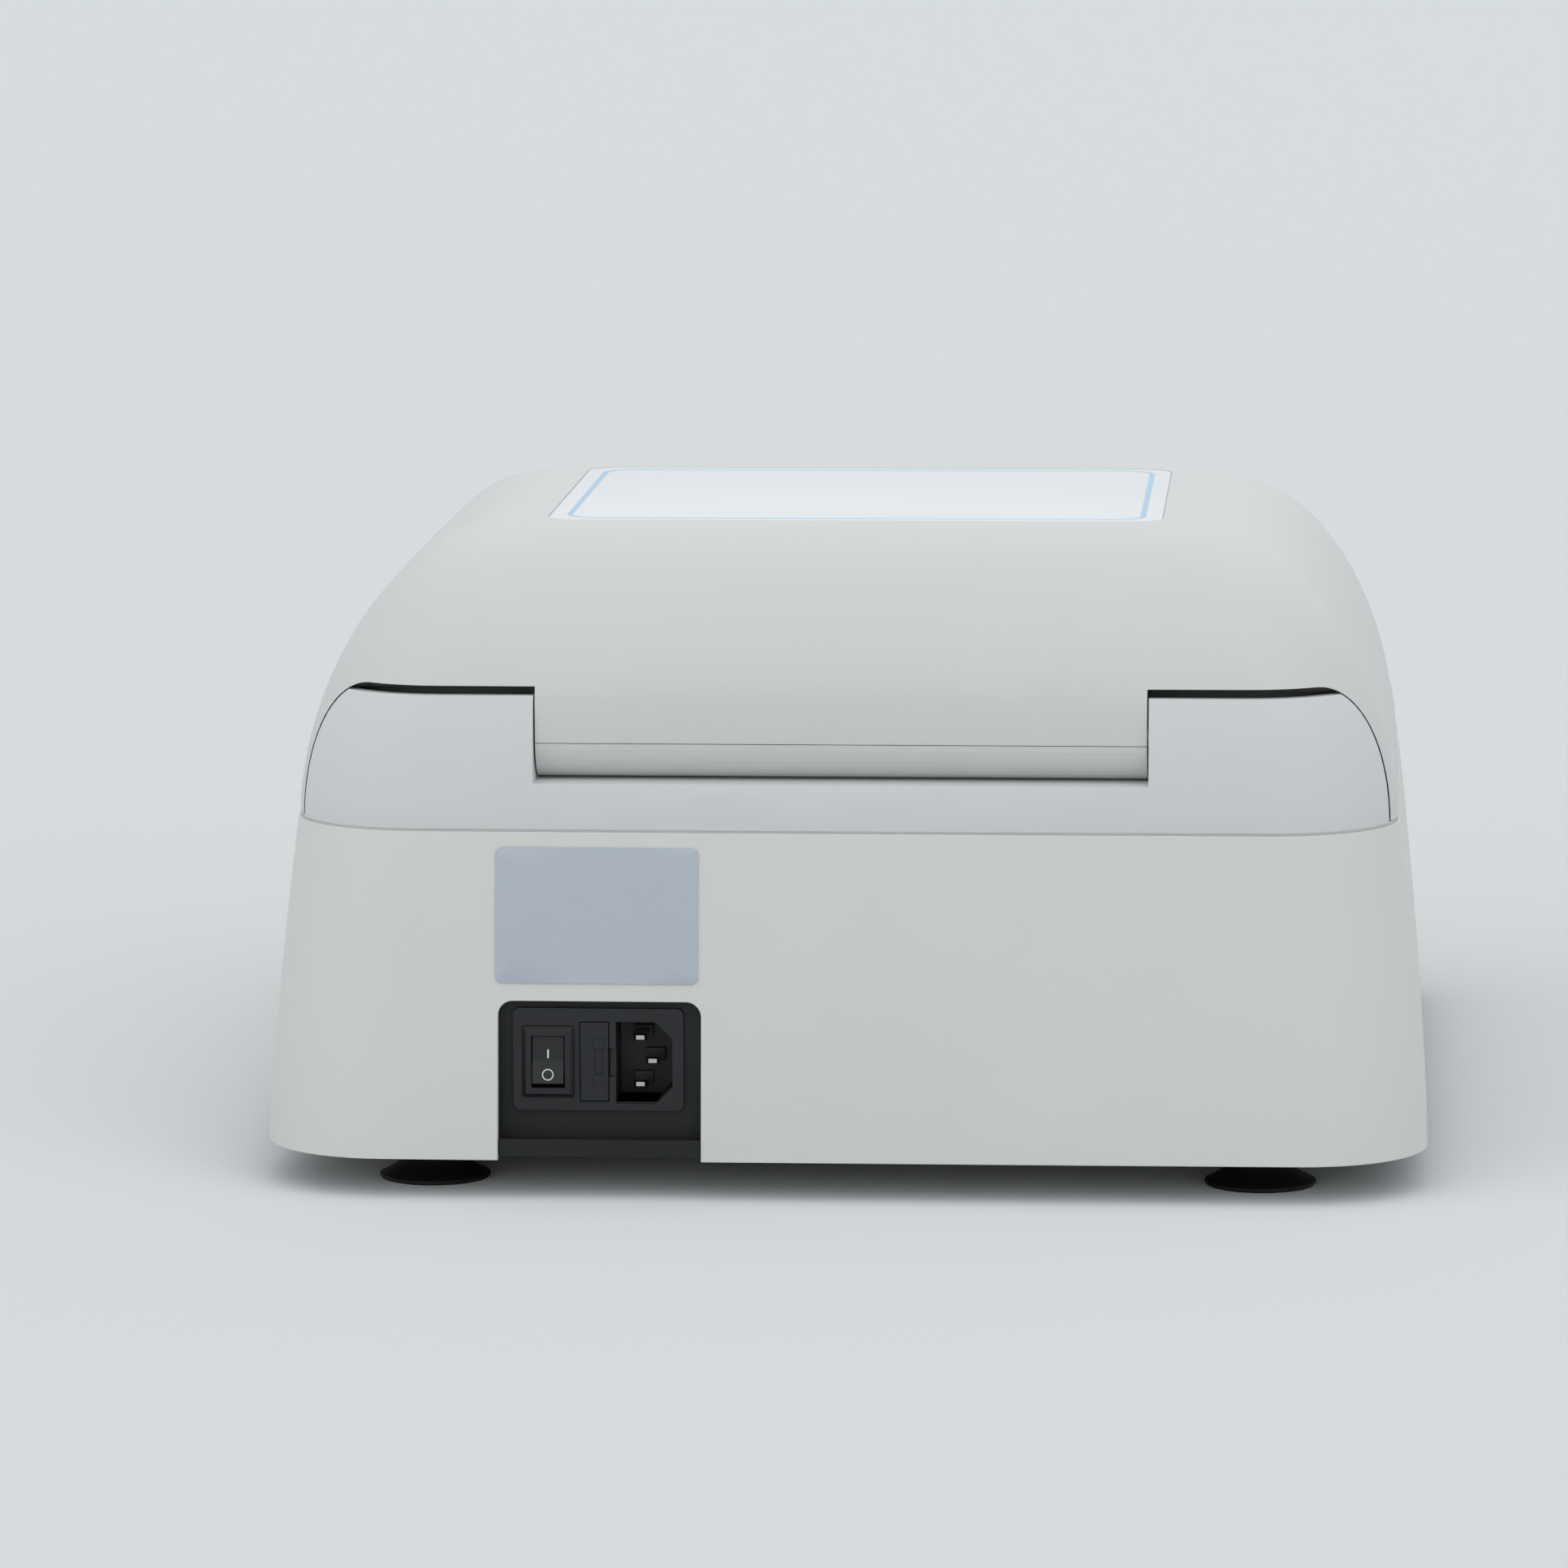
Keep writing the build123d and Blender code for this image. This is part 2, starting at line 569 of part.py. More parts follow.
def upper_housing():
    """Deck, rear wall, hinge trough and sloped control panel in one moulding."""
    form = lid_form()
    rear = form & arch(REAR_EDGE_Z, ARCH_GAP, corner_y(1) + ARCH_GAP, BASE_HALF_Y) & below(REAR_WALL_TOP)
    rear -= lid_form(WALL) & level(DECK_Z, LID_TOP_Z)
    front = form & arch(FRONT_EDGE_Z, ARCH_GAP, -BASE_HALF_Y, corner_y(-1) - ARCH_GAP) & below(DECK_Z)
    core = lid_form(LID_WALL + SKIRT_CLEAR) & below(DECK_Z)
    body = core + rear + front + (console() - lid_form(-LID_GAP) & below(DECK_Z))
    inner = LID_WALL + SKIRT_CLEAR + WALL
    hollow = lid_form(inner) & below(DECK_Z - DECK_T)
    body -= hollow
    body -= console(PANEL_T)
    trough_r = BARREL_R + TROUGH_GAP
    half = HINGE_HALF_X + TROUGH_GAP
    front_y = HINGE_Y - trough_r - 1
    rear_top = lid_form() & block(-half - 20, half + 20, HINGE_Y - 25, BASE_HALF_Y, SPLIT_Z, DECK_Z + 30)
    rear_top &= block(-half - WALL, half + WALL, front_y - WALL, BASE_HALF_Y,
                      HINGE_Z - trough_r - WALL, DECK_Z)
    body += rear_top
    for side in (-1, 1):
        x0 = side * (half + WALL)
        x1 = side * (half + HINGE_BOSS_T)
        body += block(min(x0, x1) - 0.5, max(x0, x1) + 0.5, HINGE_Y - 9, HINGE_Y + 8,
                      DECK_Z - 16, HINGE_Z + 9)
    body -= block(-half, half, front_y, BASE_HALF_Y + 5, HINGE_Z - trough_r, LID_TOP_Z)
    body -= slab(CHAMBER_HALF_X + TUB_WALL + GAP, CHAMBER_HALF_Y + TUB_WALL + GAP,
                 CHAMBER_CORNER + TUB_WALL + GAP, SPLIT_Z, LID_TOP_Z, CHAMBER_Y)
    body -= rod_x(-HINGE_HALF_X - 30, HINGE_HALF_X + 30, HINGE_Y, HINGE_Z, SHAFT_R + FIT)
    body -= panel(0, 0, OVERLAY_T) * slab(OVERLAY_X / 2, OVERLAY_V / 2, OVERLAY_CORNER, 0, 20)
    view = slab(WINDOW_X / 2 - WINDOW_LEDGE, WINDOW_V / 2 - WINDOW_LEDGE, 2, 0, 40)
    body -= panel(WINDOW_U, 0, 20) * view
    for u in key_places():
        body -= panel(u, 0) * disc(0, 0, -PANEL_T * 2, PANEL_T * 2, KEY_R + GAP)
    for u, v in board_posts():
        body += panel(u, v) * disc(0, 0, -BOARD_DEPTH, -PANEL_T + 0.5, BOARD_POST_R)
    inside = lid_form(LID_WALL + SKIRT_CLEAR + 1) + console(1)
    for x, y in boss_places():
        body += boss(x, y, SPLIT_Z, SPLIT_Z + BOSS_RISE) & inside
    body -= level(0, SPLIT_Z)
    groove_z = SPLIT_Z - SPLIT_GROOVE
    draw = GROOVE_DEPTH
    rim = outline(RIM_HALF_X - draw, RIM_HALF_Y - draw, BASE_CORNER - draw, groove_z)
    draw = inner + 2
    rim_inside = outline(RIM_HALF_X - draw, RIM_HALF_Y - draw, BASE_CORNER - inner, groove_z - 1)
    tongue = extrude(rim, SPLIT_GROOVE) - extrude(rim_inside, SPLIT_GROOVE + 2)
    body += tongue
    for x, y in boss_places():
        body += disc(x, y, groove_z, SPLIT_Z, BOSS_R)
        body -= disc(x, y, groove_z, SPLIT_Z + SCREW_DEPTH + 1, SCREW_R + FIT)
    return body


def board_posts():
    """Posts under the panel that carry the control board."""
    mid = key_places()[KEYS // 2]
    half_u = BOARD_X / 2 - 5
    half_v = BOARD_V / 2 - 4
    return [(mid + u, v) for u in (-half_u, half_u) for v in (-half_v, half_v)]


def barrel_part(upper):
    """Half of the hinge barrel: the upper half hangs on the outer shell, the rest on the liner."""
    half = HINGE_HALF_X
    shell = rod_x(-half, half, HINGE_Y, HINGE_Z, BARREL_R)
    inner_r = BARREL_R - BARREL_WALL
    shell -= rod_x(-half - 1, half + 1, HINGE_Y, HINGE_Z, inner_r)
    pitch = 2 * CARTRIDGE_HALF_X / SADDLES
    for index in range(SADDLES):
        x = -CARTRIDGE_HALF_X + pitch * (index + 0.5)
        saddle = rod_x(x - SADDLE_T / 2, x + SADDLE_T / 2, HINGE_Y, HINGE_Z, inner_r + 0.5)
        shell += saddle - rod_x(x - SADDLE_T, x + SADDLE_T, HINGE_Y, HINGE_Z, CARTRIDGE_R + FIT)
    split_y = HINGE_Y - 3
    far = BARREL_R + 5
    rear_y, top = HINGE_Y + far, HINGE_Z + far
    if upper:
        return shell & block(-half, half, split_y, rear_y, SEAM_Z, top)
    return shell - block(-half - 1, half + 1, split_y - SEAM_GAP, rear_y, SEAM_Z - SEAM_GAP, top)


def lid_outer_shell():
    """Domed outer shell with its label recess, lift lip and the hood over the hinge."""
    outer = lid_form()
    shell = outer - lid_form(LID_WALL)
    half = HINGE_HALF_X
    rear_cut = arch(REAR_EDGE_Z, 0, corner_y(1), BASE_HALF_Y + 20)
    rear_cut -= block(-half, half, 0, FAR, HOOD_TOP_Z, LID_TOP_Z)
    shell -= rear_cut
    for from_side, less in CORNER_SWEEPS:
        end = LID_HALF_X - from_side
        sweep = rod_x(-end, end, HINGE_Y, HINGE_Z, EDGE_SWEEP_R - less)
        sweep -= block(-half, half, 0, FAR, 0, LID_TOP_Z)
        shell -= sweep & level(HINGE_Z, LID_TOP_Z, corner_y(1))
    shell -= arch(FRONT_EDGE_Z, 0, -BASE_HALF_Y - 20, corner_y(-1))
    shell -= below(SPLIT_Z + LID_GAP)
    face_y = HINGE_Y + BARREL_R
    inner_y = HINGE_Y - 3
    root_z = HOOD_TOP_Z + LID_WALL
    hood = side_profile([(face_y, HINGE_Z), (face_y, HOOD_TOP_Z), (face_y, root_z),
                         (face_y - LID_WALL - 2, root_z), (inner_y + 3, HINGE_Z + BARREL_R),
                         (inner_y, HINGE_Z + BARREL_R - 1), (inner_y, HINGE_Z)], half)
    hood = (hood & outer) - rod_x(-FAR, FAR, HINGE_Y, HINGE_Z, BARREL_R - BARREL_WALL)
    shell += hood
    shell += barrel_part(True)
    lip_y = LID_FRONT_Y - LIP_REACH
    lip = block(-LIP_HALF_X, LIP_HALF_X, lip_y, lip_y + LIP_REACH + LID_WALL + 4, LIP_Z, LIP_Z + LIP_T)
    lip = fillet(lip.edges().filter_by(Axis.Z).group_by(Axis.Y)[0], LIP_REACH / 2)
    shell += lip - lid_form(LID_WALL / 2)
    shell -= slab(LABEL_X / 2 + GAP, LABEL_Y / 2 + GAP, LABEL_CORNER, LID_TOP_Z - LABEL_T, LID_TOP_Z + 1,
                  LABEL_CENTRE_Y)
    return shell


def lid_inner_shell():
    """Liner tray inside the lid, with the lower part of the hinge barrel."""
    outer = lid_form(LID_WALL + FIT * 10)
    tray = outer & level(LINER_Z, LINER_Z + LINER_RIM, -FAR, LINER_REAR_Y)
    floor_top = LINER_Z + LINER_T
    tray -= lid_form(LID_WALL + LINER_RIM_T) & level(floor_top, LID_TOP_Z, -FAR, LINER_REAR_Y - LINER_RIM_T)
    bridge = block(-HINGE_HALF_X, HINGE_HALF_X, LINER_REAR_Y - 1, HINGE_Y - 4, LINER_Z - 1.2, floor_top)
    bridge -= rod_x(-FAR, FAR, HINGE_Y, HINGE_Z, BARREL_R - BARREL_WALL)
    return tray + bridge + barrel_part(False)


def lid_gasket():
    """Silicone seal that closes on the chamber's flange."""
    reach = TUB_WALL + 1
    half_x, half_y = CHAMBER_HALF_X + reach, CHAMBER_HALF_Y + reach
    outer = slab(half_x + GASKET_W, half_y + GASKET_W, CHAMBER_CORNER + GASKET_W,
                 DECK_Z + TUB_WALL + GAP, LINER_Z, CHAMBER_Y)
    return outer - slab(half_x, half_y, CHAMBER_CORNER, DECK_Z, LINER_Z + 1, CHAMBER_Y)


def lid_foam():
    """Insulation between the liner and the outer shell."""
    inset = LID_WALL + LINER_RIM_T + GAP
    return lid_form(inset) & level(LINER_Z + LINER_T, FOAM_TOP_Z, -FAR, LINER_REAR_Y - LINER_RIM_T - GAP)


def hinge_cartridge():
    """Friction sleeve clamped in the barrel, turning on the shaft."""
    half = CARTRIDGE_HALF_X
    return rod_x(-half, half, HINGE_Y, HINGE_Z, CARTRIDGE_R) - rod_x(-half - 1, half + 1, HINGE_Y, HINGE_Z,
                                                                   SHAFT_R + RUN)


def hinge_shaft():
    """Steel shaft fixed in the bosses of the upper housing."""
    half = HINGE_HALF_X + TROUGH_GAP + HINGE_BOSS_T + SHAFT_END
    return rod_x(-half, half, HINGE_Y, HINGE_Z, SHAFT_R)


def top_label():
    """Bare label sheet in the lid's recess."""
    return slab(LABEL_X / 2, LABEL_Y / 2, LABEL_CORNER - GAP, LID_TOP_Z - LABEL_T, LID_TOP_Z - 0.1,
                LABEL_CENTRE_Y)


def magnet_places():
    """Lid magnets and the strikes under them."""
    return [(side * MAGNET_X, MAGNET_Y) for side in (-1, 1)]


def lid_magnets():
    """Magnets in their holders under the front of the liner."""
    return [disc(x, y, DECK_Z + STRIKE_T + GAP, LINER_Z, MAGNET_R) for x, y in magnet_places()]


def strike_plates():
    """Steel discs on the deck that the magnets hold."""
    return [disc(x, y, DECK_Z, DECK_Z + STRIKE_T, STRIKE_R) for x, y in magnet_places()]


def chamber_tub():
    """Deep-drawn chamber pan that hangs by its flange in the deck."""
    outer = slab(CHAMBER_HALF_X + TUB_WALL, CHAMBER_HALF_Y + TUB_WALL, CHAMBER_CORNER + TUB_WALL,
                 TUB_FLOOR_Z, DECK_Z + TUB_WALL, CHAMBER_Y)
    outer += slab(CHAMBER_HALF_X + TUB_WALL + TUB_FLANGE, CHAMBER_HALF_Y + TUB_WALL + TUB_FLANGE,
                  CHAMBER_CORNER + TUB_FLANGE, DECK_Z, DECK_Z + TUB_WALL, CHAMBER_Y)
    tub = outer - slab(CHAMBER_HALF_X, CHAMBER_HALF_Y, CHAMBER_CORNER, TUB_FLOOR_Z + TUB_FLOOR_T, LID_TOP_Z,
                       CHAMBER_Y)
    tub -= disc(0, CHAMBER_Y, 0, LID_TOP_Z, PLATFORM_HUB_R + ORBIT_R * 4)
    for x, y in crank_places():
        tub -= disc(x, y, 0, LID_TOP_Z, CRANK_HOLE_R)
    wall_y = CHAMBER_Y - CHAMBER_HALF_Y
    return tub - rod_y(PROBE_X, wall_y - 9, wall_y + 9, PROBE_Z, PROBE_R + FIT)


def rod_y(x, y0, y1, z, radius):
    """Cylinder along Y."""
    return Pos(x, (y0 + y1) / 2, z) * Rot(90, 0, 0) * Cylinder(radius, y1 - y0)


def heater_mat():
    """Heating mat bonded under the chamber floor."""
    mat = slab(CHAMBER_HALF_X - MAT_MARGIN, CHAMBER_HALF_Y - MAT_MARGIN, CHAMBER_CORNER,
               TUB_FLOOR_Z - MAT_T, TUB_FLOOR_Z, CHAMBER_Y)
    mat -= disc(0, CHAMBER_Y, 0, LID_TOP_Z, PLATFORM_HUB_R + ORBIT_R * 4 + 2)
    for x, y in crank_places():
        mat -= disc(x, y, 0, LID_TOP_Z, CRANK_HOLE_R + 2)
    return mat


def temperature_probe():
    """Temperature sensor through the chamber's front wall."""
    wall_y = CHAMBER_Y - CHAMBER_HALF_Y
    return rod_y(PROBE_X, wall_y - PROBE_OUT, wall_y + PROBE_IN, PROBE_Z, PROBE_R)


def drive_frame():
    """Cast sub-frame on four legs that carries the spindle, cranks and motor."""
    top = FRAME_Z + FRAME_T
    frame = slab(FRAME_HALF_X, FRAME_HALF_Y, FRAME_LEG_IN, FRAME_Z, top, CHAMBER_Y)
    frame += disc(0, CHAMBER_Y, HUB_BOTTOM, top, HUB_R)
    leg_x, leg_y = FRAME_HALF_X - FRAME_LEG_IN, FRAME_HALF_Y - FRAME_LEG_IN
    for sx in (-1, 1):
        for sy in (-1, 1):
            frame += disc(sx * leg_x, CHAMBER_Y + sy * leg_y, PLATE_TOP, FRAME_Z, FRAME_LEG_R)
    frame -= disc(0, CHAMBER_Y, 0, LID_TOP_Z, BEARING_R + FIT)
    for x, y in crank_places():
        frame -= disc(x, y, FRAME_Z, LID_TOP_Z, CRANK_BEARING_R + FIT)
    return frame


def bearing_heights():
    """Lower faces of the two spindle bearings in the hub."""
    return [HUB_BOTTOM + 1, FRAME_Z + FRAME_T - 2 - BEARING_T]


def main_bearings():
    """Spindle bearings in the hub."""
    return [ring(0, CHAMBER_Y, z, z + BEARING_T, BEARING_R, SPINDLE_R + RUN) for z in bearing_heights()]


def crank_bearings():
    """Bearings of the idler cranks in the frame."""
    top = FRAME_Z + FRAME_T
    return [ring(x, y, FRAME_Z, top, CRANK_BEARING_R, CRANK_PIN_R + RUN) for x, y in crank_places()]


def spindle():
    """Spindle with its eccentric pin."""
    seat = bearing_heights()[1] + BEARING_T + GAP
    weight_top = WEIGHT_Z + WEIGHT_T
    shaft = disc(0, CHAMBER_Y, SPINDLE_BOTTOM, weight_top + COLLAR_T, SPINDLE_R)
    shaft += disc(0, CHAMBER_Y, seat, WEIGHT_Z, COLLAR_R)
    shaft += disc(0, CHAMBER_Y, weight_top, weight_top + COLLAR_T, COLLAR_R)
    return shaft + disc(ORBIT_R, CHAMBER_Y, weight_top, PIN_TOP, PIN_R)


def counterweight():
    """Half-disc weight opposite the eccentric pin."""
    top = WEIGHT_Z + WEIGHT_T
    weight = disc(0, CHAMBER_Y, WEIGHT_Z, top, WEIGHT_R) & block(-WEIGHT_R, 4, -FAR, FAR, WEIGHT_Z, top)
    weight += disc(0, CHAMBER_Y, WEIGHT_Z, top, WEIGHT_HUB_R)
    return weight - disc(0, CHAMBER_Y, 0, LID_TOP_Z, SPINDLE_R + FIT)


def pulley(x, radius, bore):
    """Belt pulley between two flanges."""
    z0 = PULLEY_Z
    z1 = z0 + PULLEY_FLANGE_T
    z2 = z1 + BELT_W + 2 * GAP
    wheel = disc(x, CHAMBER_Y, z1, z2, radius)
    wheel += disc(x, CHAMBER_Y, z0, z1, radius + PULLEY_LIP)
    wheel += disc(x, CHAMBER_Y, z2, z2 + PULLEY_FLANGE_T, radius + PULLEY_LIP)
    return wheel - disc(x, CHAMBER_Y, 0, LID_TOP_Z, bore + FIT)


def driven_pulley():
    """Large pulley on the spindle."""
    return pulley(0, DRIVEN_R, SPINDLE_R)


def motor_pulley():
    """Small pulley on the motor's shaft."""
    return pulley(MOTOR_X, MOTOR_PULLEY_R, MOTOR_SHAFT_R)


def belt_loop(offset):
    """Outline of the belt around both pulleys."""
    discs = Pos(0, CHAMBER_Y) * Circle(DRIVEN_R + offset)
    discs += Pos(MOTOR_X, CHAMBER_Y) * Circle(MOTOR_PULLEY_R + offset)
    return make_hull(discs.edges())


def drive_belt():
    """Flat belt around both pulleys."""
    z0 = PULLEY_Z + PULLEY_FLANGE_T + GAP
    return Pos(0, 0, z0) * (extrude(belt_loop(GAP + BELT_T), BELT_W) - extrude(belt_loop(GAP), BELT_W))


def drive_motor():
    """Motor hung under the frame."""
    can = disc(MOTOR_X, CHAMBER_Y, MOTOR_Z, FRAME_Z, MOTOR_R)
    can = chamfer(can.edges().group_by(Axis.Z)[0], 2)
    return can - disc(MOTOR_X, CHAMBER_Y, 0, MOTOR_Z + MOTOR_SHAFT_IN + GAP, MOTOR_SHAFT_R + RUN)


def motor_shaft():
    """Motor shaft down to its pulley."""
    return disc(MOTOR_X, CHAMBER_Y, PULLEY_Z - 0.7, MOTOR_Z + MOTOR_SHAFT_IN, MOTOR_SHAFT_R)


def bush_floor():
    """Lower face of the platform's crank bushes."""
    return PLATFORM_Z - BUSH_T - 0.5


def idler_crank(place):
    """Crank with a lower pin in the frame and an upper pin under the platform."""
    x, y = place
    base = FRAME_Z + FRAME_T + GAP
    post_top = bush_floor() - GAP
    crank = disc(x, y, FRAME_Z + GAP, base, CRANK_PIN_R)
    crank += disc(x, y, base, base + CRANK_DISC_T, CRANK_DISC_R)
    crank += disc(x + ORBIT_R, y, base + CRANK_DISC_T, post_top, CRANK_POST_R)
    return crank + disc(x + ORBIT_R, y, post_top, PLATFORM_Z - 1, CRANK_PIN_R)


def platform_plate():
    """Orbiting platform with the hub of the eccentric and four crank bosses."""
    top = PLATFORM_Z + PLATFORM_T
    plate = slab(PLATFORM_HALF_X, PLATFORM_HALF_Y, PLATFORM_CORNER, PLATFORM_Z, top, CHAMBER_Y, ORBIT_R)
    hub_bottom = WEIGHT_Z + WEIGHT_T + COLLAR_T + 2
    plate += disc(ORBIT_R, CHAMBER_Y, hub_bottom, PLATFORM_Z, PLATFORM_HUB_R)
    plate -= disc(ORBIT_R, CHAMBER_Y, 0, PLATFORM_Z - 1, PLATFORM_BEARING_R + FIT)
    for x, y in crank_places():
        plate += disc(x + ORBIT_R, y, bush_floor(), PLATFORM_Z, BUSH_R + 3)
        plate -= disc(x + ORBIT_R, y, 0, PLATFORM_Z - 0.5, BUSH_R + FIT)
    return plate


def platform_bearing():
    """Bearing of the eccentric pin in the platform's hub."""
    top = PIN_TOP - 1
    return ring(ORBIT_R, CHAMBER_Y, top - PLATFORM_BEARING_T, top, PLATFORM_BEARING_R, PIN_R + RUN)


def platform_bushes():
    """Bushes of the idler cranks under the platform."""
    z = bush_floor()
    return [ring(x + ORBIT_R, y, z, z + BUSH_T, BUSH_R, CRANK_PIN_R + RUN) for x, y in crank_places()]


def nest_places():
    """Signs and centres of the four nests."""
    return [(sx, sy, ORBIT_R + sx * (NEST_RIB + NEST_X) / 2, CHAMBER_Y + sy * (NEST_RIB + NEST_Y) / 2)
            for sx in (-1, 1) for sy in (-1, 1)]


def clip_place(sx, sy):
    """Pivot and nose of the clip of one nest."""
    pivot_x = ORBIT_R + sx * (NEST_RIB / 2 + NEST_X - 8)
    edge_y = CHAMBER_Y + sy * (NEST_RIB / 2 + NEST_PLAY + PLATE_Y + 0.2 + CLIP_NOSE_R)
    return pivot_x, pivot_x - sx * CLIP_ARM_L, edge_y


def nest_inside(grow_x=0.0, grow_y=0.0):
    """Space of all four nests together, between the outer rails."""
    half_x = NEST_RIB / 2 + NEST_X + grow_x
    half_y = NEST_RIB / 2 + NEST_Y + grow_y
    return block(ORBIT_R - half_x, ORBIT_R + half_x, CHAMBER_Y - half_y, CHAMBER_Y + half_y,
                 PLATFORM_Z, PLATFORM_Z + PLATFORM_T + NEST_RIM_H)


def plate_guides():
    """Outer rails of the nests, two at the sides and two at the ends."""
    frame = nest_frame() - nest_inside()
    across = nest_inside(0, FAR)
    return list((frame - across).solids()) + list((frame & across).solids())


def nest_dividers():
    """Bars between the nests, a long one and two cross bars."""
    bars = nest_frame() & nest_inside()
    half = NEST_RIB / 2
    centre = block(ORBIT_R - half, ORBIT_R + half, -FAR, FAR, PLATFORM_Z, LID_TOP_Z)
    return list((bars & centre).solids()) + list((bars - centre).solids())


def nest_frame():
    """Form of all the nests' rails, with finger windows and room for the clip noses."""
    z0 = PLATFORM_Z + PLATFORM_T
    z1 = z0 + NEST_RIM_H
    frame = slab(PLATFORM_HALF_X, PLATFORM_HALF_Y, PLATFORM_CORNER, z0, z1, CHAMBER_Y, ORBIT_R)
    for sx, sy, cx, cy in nest_places():
        frame -= block(cx - NEST_X / 2, cx + NEST_X / 2, cy - NEST_Y / 2, cy + NEST_Y / 2, z0 - 1, z1 + 1)
        outer_x = cx + sx * NEST_X
        frame -= block(min(cx, outer_x), max(cx, outer_x), cy - NEST_WINDOW / 2, cy + NEST_WINDOW / 2,
                       z0 + 1.5, z1 + 1)
        pivot_x, nose_x, clip_y = clip_place(sx, sy)
        frame -= block(nose_x - 5, nose_x + 5, min(clip_y - CLIP_NOSE_R * sy, clip_y + 12 * sy),
                       max(clip_y - CLIP_NOSE_R * sy, clip_y + 12 * sy), z0 + 1, z1 + 1)
        frame -= disc(pivot_x, clip_y, z0 - 1, z1 + 1, CLIP_PIN_R + FIT)
    return frame


def plate_clip(place):
    """Lever that holds a plate in its nest."""
    sx, sy = place
    pivot_x, nose_x, y = clip_place(sx, sy)
    rim = PLATFORM_Z + PLATFORM_T + NEST_RIM_H
    z0, z1 = rim + GAP, rim + GAP + CLIP_ARM_T
    clip = disc(pivot_x, y, z0, z1, CLIP_RING_R)
    clip += block(min(pivot_x, nose_x), max(pivot_x, nose_x), y - CLIP_ARM_W / 2, y + CLIP_ARM_W / 2, z0, z1)
    clip += disc(nose_x, y, rim - NEST_RIM_H + 2, z1, CLIP_NOSE_R)
    return clip - disc(pivot_x, y, 0, LID_TOP_Z, CLIP_PIN_R + RUN)


def clip_pins():
    """Headed pivots of the clips."""
    pins = []
    bottom = PLATFORM_Z + PLATFORM_T
    head = bottom + NEST_RIM_H + 2 * GAP + CLIP_ARM_T + CLIP_SPRING_H
    for sx, sy, _, _ in nest_places():
        x, _, y = clip_place(sx, sy)
        pins.append(disc(x, y, bottom, head + 1, CLIP_PIN_R) + disc(x, y, head, head + 1, CLIP_HEAD_R))
    return pins


def clip_springs():
    """Torsion springs of the clips, each as its outer sleeve."""
    z = PLATFORM_Z + PLATFORM_T + NEST_RIM_H + 2 * GAP + CLIP_ARM_T
    places = [clip_place(sx, sy) for sx, sy, _, _ in nest_places()]
    return [ring(x, y, z, z + CLIP_SPRING_H - 0.2, CLIP_HEAD_R, CLIP_PIN_R + 0.2) for x, _, y in places]


def control_overlay():
    """Front sheet in the panel's recess, open for the keys and the window."""
    sheet = slab(OVERLAY_X / 2 - 0.1, OVERLAY_V / 2 - 0.1, OVERLAY_CORNER, 0, OVERLAY_T)
    sheet -= slab(WINDOW_X / 2, WINDOW_V / 2, 2, -1, OVERLAY_T + 1, 0, WINDOW_U)
    for u in key_places():
        sheet -= disc(u, 0, -1, OVERLAY_T + 1, KEY_R + GAP)
    return panel(0, 0, OVERLAY_T) * sheet


def display_window():
    """Clear window of the display."""
    return panel(WINDOW_U, 0, OVERLAY_T) * slab(WINDOW_X / 2 - 0.1, WINDOW_V / 2 - 0.1, 2, 0, OVERLAY_T)


def display_module():
    """Display under the panel."""
    return panel(WINDOW_U, 0, PANEL_T) * slab(WINDOW_X / 2 + 4, WINDOW_V / 2 + 3, 1, -DISPLAY_T, 0)


def control_board():
    """Circuit board with one push switch under each key."""
    mid = key_places()[KEYS // 2]
    board = slab(BOARD_X / 2, BOARD_V / 2, 2, -BOARD_T, 0, 0, mid)
    for u in key_places():
        board += Pos(u, 0, 1) * Box(BUTTON_SIDE, BUTTON_SIDE, 2.2)
    return panel(0, 0, BOARD_DEPTH) * board


def key(u):
    """Key cap with the flange that keeps it in the panel."""
    top = -PANEL_T - GAP
    cap = disc(0, 0, top, KEY_PROUD, KEY_R)
    cap = chamfer(cap.edges().group_by(Axis.Z)[-1], 0.6)
    return panel(u, 0) * (cap + disc(0, 0, top - KEY_FLANGE_T, top, KEY_FLANGE_R))


def module_block(inset, y0, y1):
    """Rounded block of the inlet module between two depths."""
    body = block(MODULE_X0 + inset, MODULE_X1 - inset, y0, y1, MODULE_Z0 + inset, MODULE_Z1 - inset)
    return fillet(body.edges().filter_by(Axis.Y), MODULE_CORNER)


def inlet_panel():
    """Sheet bracket behind the notch, standing on the base plate."""
    x0, x1 = NOTCH_X0 - 4, NOTCH_X1 + 4
    back = INLET_FACE_Y - INLET_PANEL_T
    plate = block(x0, x1, back, INLET_FACE_Y, PLATE_TOP, NOTCH_TOP + 3.5)
    plate += block(x0, x1, INLET_FACE_Y - INLET_FOOT, INLET_FACE_Y, PLATE_TOP, PLATE_TOP + INLET_PANEL_T)
    return plate - module_block(MODULE_INSET - 0.1, back - 1, INLET_FACE_Y + 1)


def socket_form():
    """Space of the mains socket, with two corners taken off."""
    half_w, half_h = SOCKET_W / 2, SOCKET_H / 2
    cut = SOCKET_CHAMFER
    face = INLET_FACE_Y + MODULE_FLANGE_T
    points = [(half_w, half_h), (-half_w + cut, half_h), (-half_w, half_h - cut), (-half_w, -half_h + cut),
              (-half_w + cut, -half_h), (half_w, -half_h)]
    sketch = Plane((SOCKET_X, face, SOCKET_Z), x_dir=(1, 0, 0), z_dir=(0, -1, 0)) * make_face(
        Polyline(*points, close=True))
    return extrude(sketch, SOCKET_DEPTH) + extrude(sketch, -2)


